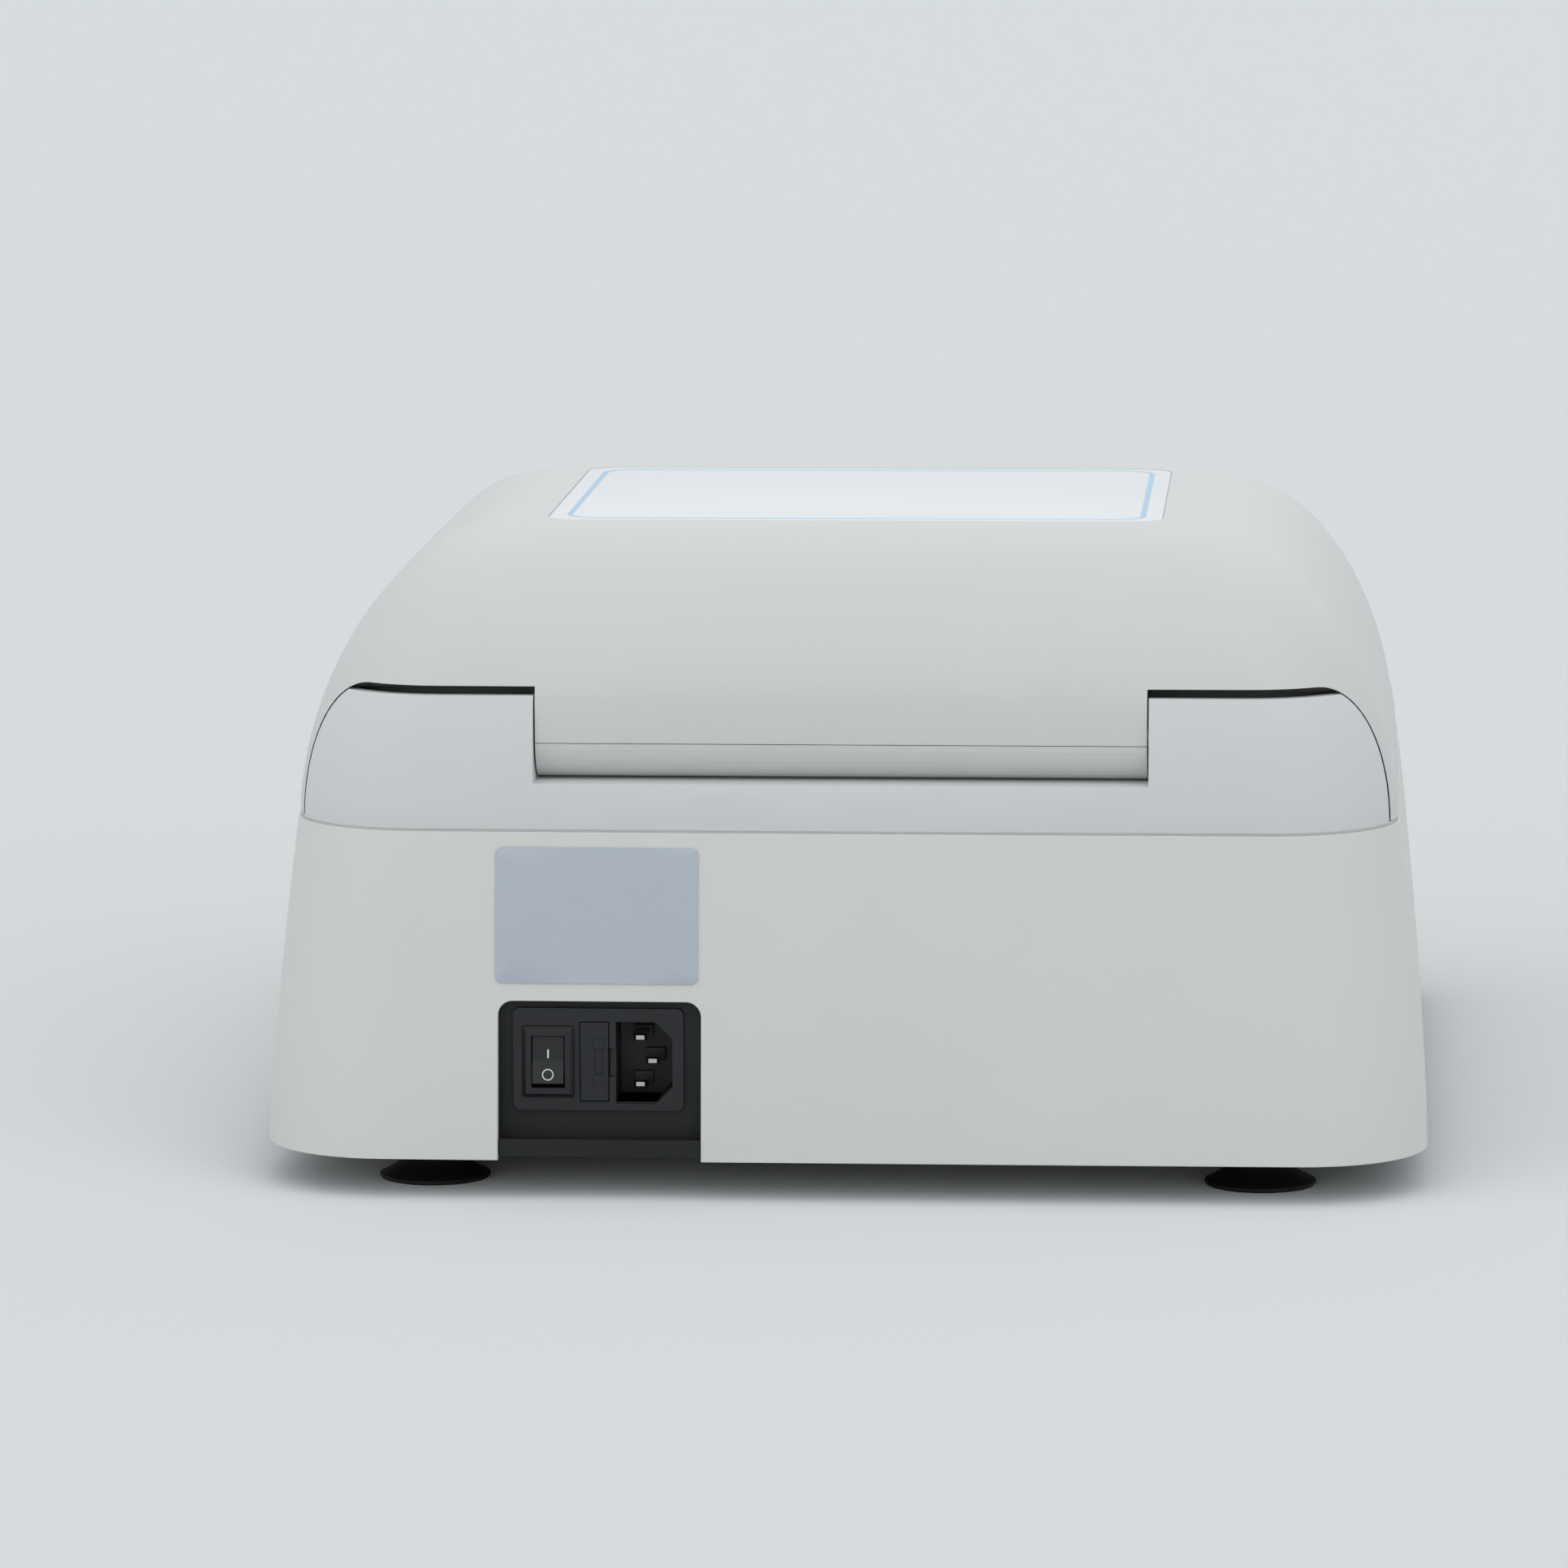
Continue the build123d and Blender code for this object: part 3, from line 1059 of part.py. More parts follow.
def inlet_module():
    """Flanged module with the switch bezel, the fuse slot and the mains socket."""
    face = INLET_FACE_Y + MODULE_FLANGE_T
    bezel = face + BEZEL_T
    body = module_block(0, INLET_FACE_Y, face)
    body += module_block(MODULE_INSET, INLET_FACE_Y - MODULE_DEPTH, face)
    frame = block(SWITCH_X - BEZEL_W / 2, SWITCH_X + BEZEL_W / 2, face, bezel,
                  SWITCH_Z - BEZEL_H / 2, SWITCH_Z + BEZEL_H / 2)
    body += chamfer(frame.faces().sort_by(Axis.Y)[-1].edges(), BEZEL_T * 0.8)
    body -= block(SWITCH_X - ROCKER_W / 2 - GAP, SWITCH_X + ROCKER_W / 2 + GAP, bezel - 12, bezel + 1,
                  SWITCH_Z - ROCKER_H / 2 - 0.4, SWITCH_Z + ROCKER_H / 2 + 0.4)
    body -= rod_x(SWITCH_X - ROCKER_W / 2 - 1.6, SWITCH_X + ROCKER_W / 2 + 1.6, rocker_pivot_y(), SWITCH_Z,
                  1 + RUN)
    body -= socket_form()
    body -= block(SOCKET_X + SOCKET_W / 2 - 1, FUSE_X, face - 1.5, face + 1, SOCKET_Z - 4.3, SOCKET_Z + 4.3)
    return body - block(FUSE_X - FUSE_W / 2, FUSE_X + FUSE_W / 2, face - FUSE_DEPTH, face + 1,
                        SWITCH_Z - FUSE_H / 2, SWITCH_Z + FUSE_H / 2)


def rocker_pivot_y():
    """Depth of the rocker's pivot behind the bezel."""
    return INLET_FACE_Y + MODULE_FLANGE_T + BEZEL_T - 4


def power_rocker():
    """Rocker with its pivot pins, the upper end pressed in."""
    y = rocker_pivot_y()
    half = ROCKER_H / 2 - 0.35
    rocker = side_profile([(4.2, half), (3.5, 0), (4.2, -half), (-2, -5), (-2, 5)], ROCKER_W / 2)
    rocker += rod_x(-ROCKER_W / 2 - 1.4, ROCKER_W / 2 + 1.4, 0, 0, 1)
    return Pos(SWITCH_X, y, SWITCH_Z) * Rot(ROCKER_TILT, 0, 0) * rocker


def fuse_drawer():
    """Drawer that holds the fuses, with a lip for the fingernail."""
    face = INLET_FACE_Y + MODULE_FLANGE_T
    half_w, half_h = FUSE_W / 2 - 0.2, FUSE_H / 2 - 0.2
    drawer = block(FUSE_X - half_w, FUSE_X + half_w, face - FUSE_DEPTH + GAP, face + GAP,
                   SWITCH_Z - half_h, SWITCH_Z + half_h)
    reach = FUSE_R + FIT
    z0, z1 = SWITCH_Z - FUSE_TUBE_L / 2 - FIT, SWITCH_Z + FUSE_TUBE_L / 2 + FIT
    for y in fuse_depths():
        drawer -= disc(FUSE_X, y, z0, z1, reach)
        drawer -= block(FUSE_X, FUSE_X + FUSE_W, y - reach, y + reach, z0, z1)
    return drawer


def fuse_depths():
    """Depths of the two fuses in the drawer."""
    face = INLET_FACE_Y + MODULE_FLANGE_T
    return [face - FUSE_R - 3, face - FUSE_R * 3 - 6]


def fuses():
    """Glass fuses."""
    half = FUSE_TUBE_L / 2
    return [disc(FUSE_X, y, SWITCH_Z - half, SWITCH_Z + half, FUSE_R) for y in fuse_depths()]


def inlet_pins():
    """Three blades of the mains socket."""
    floor = INLET_FACE_Y + MODULE_FLANGE_T - SOCKET_DEPTH
    places = [(PIN_SIDE_X, SOCKET_Z + PIN_SPACING / 2), (PIN_SIDE_X, SOCKET_Z - PIN_SPACING / 2),
              (PIN_SIDE_X - PIN_EARTH_SHIFT, SOCKET_Z)]
    tip = floor + BLADE_OUT
    half_w, half_h = BLADE_W / 2, BLADE_H / 2
    return [block(x - half_w, x + half_w, floor, tip, z - half_h, z + half_h) for x, z in places]


def rating_plate():
    """Bare rating plate that follows the rear wall."""
    sheet = base_form(-RATING_T) - base_form(-FIT)
    window = block(RATING_X - RATING_W / 2, RATING_X + RATING_W / 2, 0, BASE_HALF_Y + 9,
                   RATING_Z - RATING_H / 2, RATING_Z + RATING_H / 2)
    return sheet & fillet(window.edges().filter_by(Axis.Y), 2)


def power_supply():
    """Power supply board with its larger components, on the base plate."""
    supply = block(SUPPLY_X0, SUPPLY_X1, SUPPLY_Y0, SUPPLY_Y1, PLATE_TOP, PLATE_TOP + 6)
    length = SUPPLY_Y1 - SUPPLY_Y0
    for share, size in ((0.12, 18), (0.42, 26), (0.75, 20)):
        y = SUPPLY_Y0 + length * share
        top = PLATE_TOP + SUPPLY_H - size / 4
        supply += block(SUPPLY_X0 + 3, SUPPLY_X1 - 3, y, y + size, PLATE_TOP + 5, top)
    return supply


NODES = {
    "base_housing": base_housing, "base_plate": base_plate, "suction_feet": suction_feet,
    "foot_nuts": foot_nuts, "housing_screws": housing_screws, "upper_housing": upper_housing,
    "lid_outer_shell": lid_outer_shell, "lid_inner_shell": lid_inner_shell, "lid_gasket": lid_gasket,
    "lid_foam": lid_foam, "hinge_cartridge": hinge_cartridge, "hinge_shaft": hinge_shaft,
    "top_label": top_label, "lid_magnets": lid_magnets, "strike_plates": strike_plates,
    "chamber_tub": chamber_tub, "heater_mat": heater_mat, "temperature_probe": temperature_probe,
    "drive_frame": drive_frame, "main_bearings": main_bearings, "crank_bearings": crank_bearings,
    "spindle": spindle, "counterweight": counterweight, "driven_pulley": driven_pulley,
    "motor_pulley": motor_pulley, "drive_belt": drive_belt, "drive_motor": drive_motor,
    "motor_shaft": motor_shaft, "platform_plate": platform_plate, "platform_bearing": platform_bearing,
    "platform_bushes": platform_bushes, "plate_guides": plate_guides, "nest_dividers": nest_dividers,
    "clip_pins": clip_pins, "clip_springs": clip_springs, "control_overlay": control_overlay, "display_window": display_window,
    "display_module": display_module, "control_board": control_board, "inlet_panel": inlet_panel,
    "inlet_module": inlet_module, "power_rocker": power_rocker, "fuse_drawer": fuse_drawer, "fuses": fuses,
    "inlet_pins": inlet_pins, "rating_plate": rating_plate, "power_supply": power_supply,
}
NODES.update({f"idler_crank_{i + 1}": (lambda place=place: idler_crank(place))
              for i, place in enumerate(crank_places())})
NODES.update({f"plate_clip_{i + 1}": (lambda place=place[:2]: plate_clip(place))
              for i, place in enumerate(nest_places())})
NODES.update({f"key_{i + 1}": (lambda u=u: key(u)) for i, u in enumerate(key_places())})

if __name__ == "__main__":
    os.makedirs("parts", exist_ok=True)
    for name, build in NODES.items():
        made = build()
        shape = Compound(children=made) if isinstance(made, list) else made
        export_step(shape, f"parts/{name}.step")
        print(name)
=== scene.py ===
"""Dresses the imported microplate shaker: finishes, softened mouldings, fine parts, and the studio."""

import json
import logging
import math
from dataclasses import dataclass, field
from enum import Enum

import bmesh
import bpy
from mathutils import Matrix, Vector

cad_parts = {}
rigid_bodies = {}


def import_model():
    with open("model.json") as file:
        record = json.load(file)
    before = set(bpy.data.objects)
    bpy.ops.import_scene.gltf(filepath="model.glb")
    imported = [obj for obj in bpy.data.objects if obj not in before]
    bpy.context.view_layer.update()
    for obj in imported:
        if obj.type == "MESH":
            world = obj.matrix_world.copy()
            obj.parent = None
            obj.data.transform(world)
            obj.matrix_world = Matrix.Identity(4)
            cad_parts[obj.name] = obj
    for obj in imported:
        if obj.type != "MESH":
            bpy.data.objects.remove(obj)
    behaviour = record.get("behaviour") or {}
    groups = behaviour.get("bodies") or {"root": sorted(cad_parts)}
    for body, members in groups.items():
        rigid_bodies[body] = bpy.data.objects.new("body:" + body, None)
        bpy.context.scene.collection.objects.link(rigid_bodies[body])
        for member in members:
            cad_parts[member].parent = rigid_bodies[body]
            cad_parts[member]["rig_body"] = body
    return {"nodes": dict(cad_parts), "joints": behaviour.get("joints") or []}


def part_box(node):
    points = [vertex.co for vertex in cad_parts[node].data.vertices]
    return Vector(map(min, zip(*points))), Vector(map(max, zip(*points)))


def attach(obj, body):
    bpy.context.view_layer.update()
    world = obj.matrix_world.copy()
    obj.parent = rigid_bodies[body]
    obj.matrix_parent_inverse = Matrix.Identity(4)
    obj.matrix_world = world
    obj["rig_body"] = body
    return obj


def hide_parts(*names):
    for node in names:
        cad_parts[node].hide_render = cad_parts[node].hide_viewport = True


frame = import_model()

MM = 0.001
SMOOTH_ANGLE = math.radians(32)
FULL_TURN = 2 * math.pi
log = logging.getLogger("microplate_shaker")

Point = tuple[float, float, float]
Pair = tuple[float, float]


def linear(code: str) -> tuple[float, float, float, float]:
    """Turns an sRGB hex colour into linear RGBA.

    Args:
        code: six hex digits.

    Returns:
        Linear red, green, blue and an alpha of 1.
    """
    shares = [int(code[i:i + 2], 16) / 255 for i in (0, 2, 4)]
    red, green, blue = (s / 12.92 if s <= 0.04045 else ((s + 0.055) / 1.055) ** 2.4 for s in shares)
    return red, green, blue, 1.0


def add(tree: bpy.types.NodeTree, kind: str, settings: dict | None = None,
        links: dict | None = None) -> bpy.types.Node:
    """Adds a node with its settings and links.

    Args:
        tree: the node tree.
        kind: the node's type.
        settings: values by input name, input index or property name.
        links: sockets by input name or index.

    Returns:
        The new node.
    """
    node = tree.nodes.new(kind)
    for key, value in (settings or {}).items():
        if isinstance(key, int) or key in node.inputs:
            node.inputs[key].default_value = value
        else:
            setattr(node, key, value)
    for key, socket in (links or {}).items():
        tree.links.new(socket, node.inputs[key])
    return node


class Grain(Enum):
    """How a surface was made, which gives its fine relief."""

    MOULDED = "spark-eroded mould texture"
    CAST = "sand-blasted casting"
    BRUSHED = "brushed along X"
    TURNED = "turned about Z"
    SMOOTH = "polished or film"
    POWDER = "powder-coat orange peel"


@dataclass(frozen=True)
class Finish:
    """A surface finish: one material, one way of making it."""

    name: str
    colour: str
    grain: Grain
    roughness: float
    metallic: float = 0.0
    ior: float = 1.5
    grain_mm: float = 0.6
    relief_um: float = 12.0
    shift: float = 0.03
    patch_mm: float = 70.0
    coat: float = 0.0
    transmission: float = 0.0

    def material(self) -> bpy.types.Material:
        """Returns the finish as a material, made once."""
        found = bpy.data.materials.get(self.name)
        return found or self._build()

    def _build(self) -> bpy.types.Material:
        """Builds the node tree.

        Returns:
            The new material.
        """
        made = bpy.data.materials.new(self.name)
        made.use_nodes = True
        tree = made.node_tree
        tree.nodes.clear()
        place = add(tree, "ShaderNodeTexCoord").outputs["Object"]
        patch = add(tree, "ShaderNodeTexNoise", {"Scale": 1 / (self.patch_mm * MM), "Detail": 3.0},
                    {"Vector": place})
        base = linear(self.colour)
        low = [c * (1 - self.shift) for c in base[:3]] + [1]
        high = [min(1.0, c * (1 + self.shift)) for c in base[:3]] + [1]
        tint = add(tree, "ShaderNodeMix", {"data_type": "RGBA", 6: low, 7: high}, {0: patch.outputs["Fac"]})
        rough = add(tree, "ShaderNodeMapRange", {"From Min": 0.3, "From Max": 0.7,
                                                 "To Min": self.roughness * 0.92,
                                                 "To Max": min(1.0, self.roughness * 1.08)},
                    {"Value": patch.outputs["Fac"]})
        relief = self._relief(tree, place)
        settings = {"Metallic": self.metallic, "IOR": self.ior, "Coat Weight": self.coat,
                    "Transmission Weight": self.transmission}
        links = {"Base Color": tint.outputs[2], "Roughness": rough.outputs["Result"]}
        if relief is not None:
            bump = add(tree, "ShaderNodeBump", {"Strength": 1.0, "Distance": self.relief_um * MM * MM},
                       {"Height": relief})
            links["Normal"] = bump.outputs["Normal"]
        shader = add(tree, "ShaderNodeBsdfPrincipled", settings, links)
        add(tree, "ShaderNodeOutputMaterial", links={"Surface": shader.outputs["BSDF"]})
        return made

    def _relief(self, tree: bpy.types.NodeTree, place: bpy.types.NodeSocket) -> bpy.types.NodeSocket | None:
        """Adds the fine relief.

        Args:
            tree: the node tree.
            place: Object coordinates.

        Returns:
            The height socket, or None for a smooth finish.
        """
        scale = 1 / (self.grain_mm * MM)
        if self.grain is Grain.SMOOTH:
            return None
        if self.grain is Grain.BRUSHED:
            stretch = add(tree, "ShaderNodeMapping", {"Scale": (0.02, 1.0, 1.0)}, {"Vector": place})
            noise = add(tree, "ShaderNodeTexNoise", {"Scale": scale, "Detail": 2.0},
                        {"Vector": stretch.outputs["Vector"]})
            return noise.outputs["Fac"]
        if self.grain is Grain.TURNED:
            rings = add(tree, "ShaderNodeTexWave", {"wave_type": "RINGS", "rings_direction": "Z",
                                                    "Scale": scale / 20, "Distortion": 0.4},
                        {"Vector": place})
            return rings.outputs["Fac"]
        if self.grain is Grain.POWDER:
            peel = add(tree, "ShaderNodeTexVoronoi", {"feature": "SMOOTH_F1", "Scale": scale}, {"Vector": place})
            return peel.outputs["Distance"]
        detail = 5.0 if self.grain is Grain.CAST else 2.5
        noise = add(tree, "ShaderNodeTexNoise", {"Scale": scale, "Detail": detail}, {"Vector": place})
        return noise.outputs["Fac"]


# Moulded ABS with a fine spark-eroded texture: an even, dull, slightly warm light grey
BASE_ABS = Finish("abs_base_warm_grey", "D8D9D5", Grain.MOULDED, 0.52, grain_mm=0.7, relief_um=14)
# The same ABS in a cooler batch, as the housing's upper half shows
UPPER_ABS = Finish("abs_upper_cool_grey", "D6D7D7", Grain.MOULDED, 0.5, grain_mm=0.7, relief_um=12)
# Lid moulding, a little smoother
LID_ABS = Finish("abs_lid_off_white", "D2D3D1", Grain.MOULDED, 0.46, grain_mm=0.7, relief_um=10)
# Black polyamide with a spark-eroded texture
BLACK_NYLON = Finish("nylon_black_textured", "17191D", Grain.MOULDED, 0.46, grain_mm=0.5, relief_um=10,
                     shift=0.08, patch_mm=12)
# Smooth black polycarbonate of the switch
BLACK_GLOSS = Finish("polycarbonate_black", "17181A", Grain.MOULDED, 0.36, grain_mm=0.4, relief_um=3, shift=0.05)
# Near-black painted shade for the dark deep in moulded grooves and lines, where no light reaches; not a polyamide of
# its own
GROOVE_SHADE_PAINT = Finish("painted_groove_shade", "050506", Grain.MOULDED, 0.8, grain_mm=0.4, relief_um=4, shift=0.05)
# Steel sheet with black powder coat: fine orange peel and a dull shine
BLACK_POWDER = Finish("powder_coat_black", "0E0F13", Grain.POWDER, 0.58, grain_mm=0.8, relief_um=18, shift=0.06)
# Natural rubber, moulded: dull and slightly bloomed
RUBBER = Finish("rubber_black", "161617", Grain.MOULDED, 0.66, grain_mm=1.0, relief_um=20, shift=0.12, patch_mm=9)
# Translucent silicone seal, dull and soft
SILICONE = Finish("silicone_pale", "BFC2C2", Grain.MOULDED, 0.6, grain_mm=1.5, relief_um=8)
# Glass-cloth reinforced silicone of a heating mat, brick red
HEATER = Finish("silicone_heater_red", "A1422F", Grain.MOULDED, 0.62, grain_mm=0.8, relief_um=30)
# Closed-cell foam with open cut cells
FOAM = Finish("foam_cut", "DDD9CC", Grain.CAST, 0.9, grain_mm=1.4, relief_um=120)
# Natural anodised aluminium: matt silver with faint brush lines
ANODISED = Finish("aluminium_anodised", "C3C5C8", Grain.BRUSHED, 0.36, metallic=1.0, grain_mm=0.5, relief_um=6)
# Sand-cast aluminium, blasted
CAST_ALUMINIUM = Finish("aluminium_cast", "A4A7A9", Grain.CAST, 0.52, metallic=1.0, grain_mm=1.1, relief_um=45)
# Ground shaft steel
GROUND_STEEL = Finish("steel_ground", "B9BBBE", Grain.BRUSHED, 0.26, metallic=1.0, grain_mm=0.3, relief_um=3)
# Zinc plate: bluish and slightly cloudy
ZINC = Finish("steel_zinc_plated", "AEB4BA", Grain.CAST, 0.38, metallic=1.0, grain_mm=2.0, relief_um=5, shift=0.1,
              patch_mm=6)
# Machined grey iron
IRON = Finish("iron_machined", "55575A", Grain.TURNED, 0.42, metallic=1.0, grain_mm=0.6, relief_um=8)
# Nickel plate of the magnets and blades
NICKEL = Finish("nickel_plate", "D2CFC8", Grain.SMOOTH, 0.18, metallic=1.0, patch_mm=8)
# Sintered bronze
BRONZE = Finish("bronze_sintered", "8E6B35", Grain.CAST, 0.45, metallic=1.0, grain_mm=0.5, relief_um=15)
# Black enamel of the motor can
MOTOR_ENAMEL = Finish("enamel_motor_black", "1F2022", Grain.POWDER, 0.35, grain_mm=1.0, relief_um=10)
# Epoxy-glass board with green solder mask
BOARD = Finish("epoxy_glass_green", "1B5A34", Grain.MOULDED, 0.34, grain_mm=0.6, relief_um=10, shift=0.1, patch_mm=14)
# White polyester label film
LABEL_FILM = Finish("polyester_label_white", "E2E5E8", Grain.SMOOTH, 0.42, shift=0.01)
# Silver-grey polyester foil of the rating plate
RATING_FOIL = Finish("polyester_foil_silver", "B9C0CA", Grain.MOULDED, 0.4, metallic=0.15, grain_mm=0.5, relief_um=3,
                     shift=0.015)
# Printed line on the label: pale blue ink
LABEL_INK = Finish("ink_pale_blue", "9CC3E2", Grain.SMOOTH, 0.34, shift=0.02)
# Printed polyester of the control panel
OVERLAY = Finish("polyester_overlay_slate", "4C5F78", Grain.MOULDED, 0.42, grain_mm=0.6, relief_um=6, shift=0.02)
# Clear window over the display
WINDOW = Finish("acrylic_window", "DCE4E6", Grain.SMOOTH, 0.06, ior=1.49, transmission=0.9, shift=0.01)
# Liquid-crystal glass, blank
DISPLAY = Finish("lcd_blank", "8E9C84", Grain.SMOOTH, 0.24, shift=0.03, patch_mm=30)
# Satin key cap
KEY_CAP = Finish("key_cap_light", "D3D7DB", Grain.MOULDED, 0.44, grain_mm=0.5, relief_um=8)
# White pad-printing ink
WHITE_INK = Finish("ink_white", "E6E8E8", Grain.SMOOTH, 0.4, shift=0.02)
# Slate printing ink of the key marks
SLATE_INK = Finish("ink_slate", "3E4E66", Grain.SMOOTH, 0.4, shift=0.02)
# Fuse glass
FUSE_GLASS = Finish("glass_fuse", "DDE3E4", Grain.SMOOTH, 0.05, ior=1.52, transmission=0.85, shift=0.01)
# Copper winding under clear lacquer
COPPER = Finish("copper_lacquered", "A8683C", Grain.BRUSHED, 0.3, metallic=1.0, grain_mm=0.6, relief_um=25)
# Heat-shrink sleeve of an electrolytic capacitor
SLEEVE = Finish("pvc_sleeve_blue_black", "232C3A", Grain.MOULDED, 0.36, grain_mm=0.8, relief_um=5)

NODE_FINISHES: dict[str, Finish] = {
    "base_housing": BASE_ABS, "base_plate": BLACK_POWDER, "suction_feet": RUBBER, "foot_nuts": ZINC,
    "housing_screws": ZINC, "upper_housing": UPPER_ABS, "lid_outer_shell": LID_ABS,
    "lid_inner_shell": LID_ABS, "lid_gasket": SILICONE, "lid_foam": FOAM, "hinge_cartridge": BLACK_NYLON,
    "hinge_shaft": GROUND_STEEL, "top_label": LABEL_FILM, "lid_magnets": NICKEL, "strike_plates": GROUND_STEEL,
    "chamber_tub": ANODISED, "heater_mat": HEATER, "temperature_probe": GROUND_STEEL,
    "drive_frame": CAST_ALUMINIUM, "main_bearings": GROUND_STEEL, "crank_bearings": GROUND_STEEL,
    "spindle": GROUND_STEEL, "counterweight": IRON, "driven_pulley": ANODISED, "motor_pulley": ANODISED,
    "drive_belt": RUBBER, "drive_motor": MOTOR_ENAMEL, "motor_shaft": GROUND_STEEL, "platform_plate": ANODISED,
    "platform_bearing": GROUND_STEEL, "platform_bushes": BRONZE, "plate_guides": BLACK_NYLON,
    "nest_dividers": BLACK_NYLON,
    "clip_pins": GROUND_STEEL, "clip_springs": GROUND_STEEL, "control_overlay": OVERLAY,
    "display_window": WINDOW, "display_module": DISPLAY, "control_board": BOARD, "inlet_panel": BLACK_POWDER,
    "inlet_module": BLACK_NYLON, "power_rocker": BLACK_GLOSS, "fuse_drawer": BLACK_NYLON, "fuses": FUSE_GLASS,
    "inlet_pins": NICKEL, "rating_plate": RATING_FOIL, "power_supply": BOARD,
    **{f"idler_crank_{i}": GROUND_STEEL for i in range(1, 5)},
    **{f"plate_clip_{i}": BLACK_NYLON for i in range(1, 5)},
    **{f"key_{i}": KEY_CAP for i in range(1, 6)},
}

FLOOR_COLOUR = "DBDDDE"
SKY_COLOUR = "DADEE0"

# Axes of a place that faces the rear: right as seen from behind, up, outwards
REAR_FACING = Matrix(((-1, 0, 0, 0), (0, 0, 1, 0), (0, 1, 0, 0), (0, 0, 0, 1)))


def centre_of(node: str) -> Vector:
    """Returns the centre of a CAD node's box in millimetres."""
    low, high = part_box(node)
    return (Vector(low) + Vector(high)) / (2 * MM)


def low_of(node: str) -> Vector:
    """Returns the lowest corner of a CAD node in millimetres."""
    return Vector(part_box(node)[0]) / MM


def high_of(node: str) -> Vector:
    """Returns the highest corner of a CAD node in millimetres."""
    return Vector(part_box(node)[1]) / MM


def rounded(half_w: float, half_h: float, radius: float, steps: int = 8) -> list[Pair]:
    """Outline of a rounded rectangle about the origin.

    Args:
        half_w: half the width.
        half_h: half the height.
        radius: corner radius.
        steps: steps in each corner.

    Returns:
        Its points, anticlockwise.
    """
    points = []
    for corner, (sx, sy) in enumerate(((1, 1), (-1, 1), (-1, -1), (1, -1))):
        for step in range(steps + 1):
            angle = math.pi / 2 * (corner + step / steps)
            points.append((sx * (half_w - radius) + radius * math.cos(angle),
                           sy * (half_h - radius) + radius * math.sin(angle)))
    return points


def circle(radius: float, steps: int = 32) -> list[Pair]:
    """Returns the points of a circle about the origin."""
    return [(radius * math.cos(FULL_TURN * i / steps), radius * math.sin(FULL_TURN * i / steps))
            for i in range(steps)]


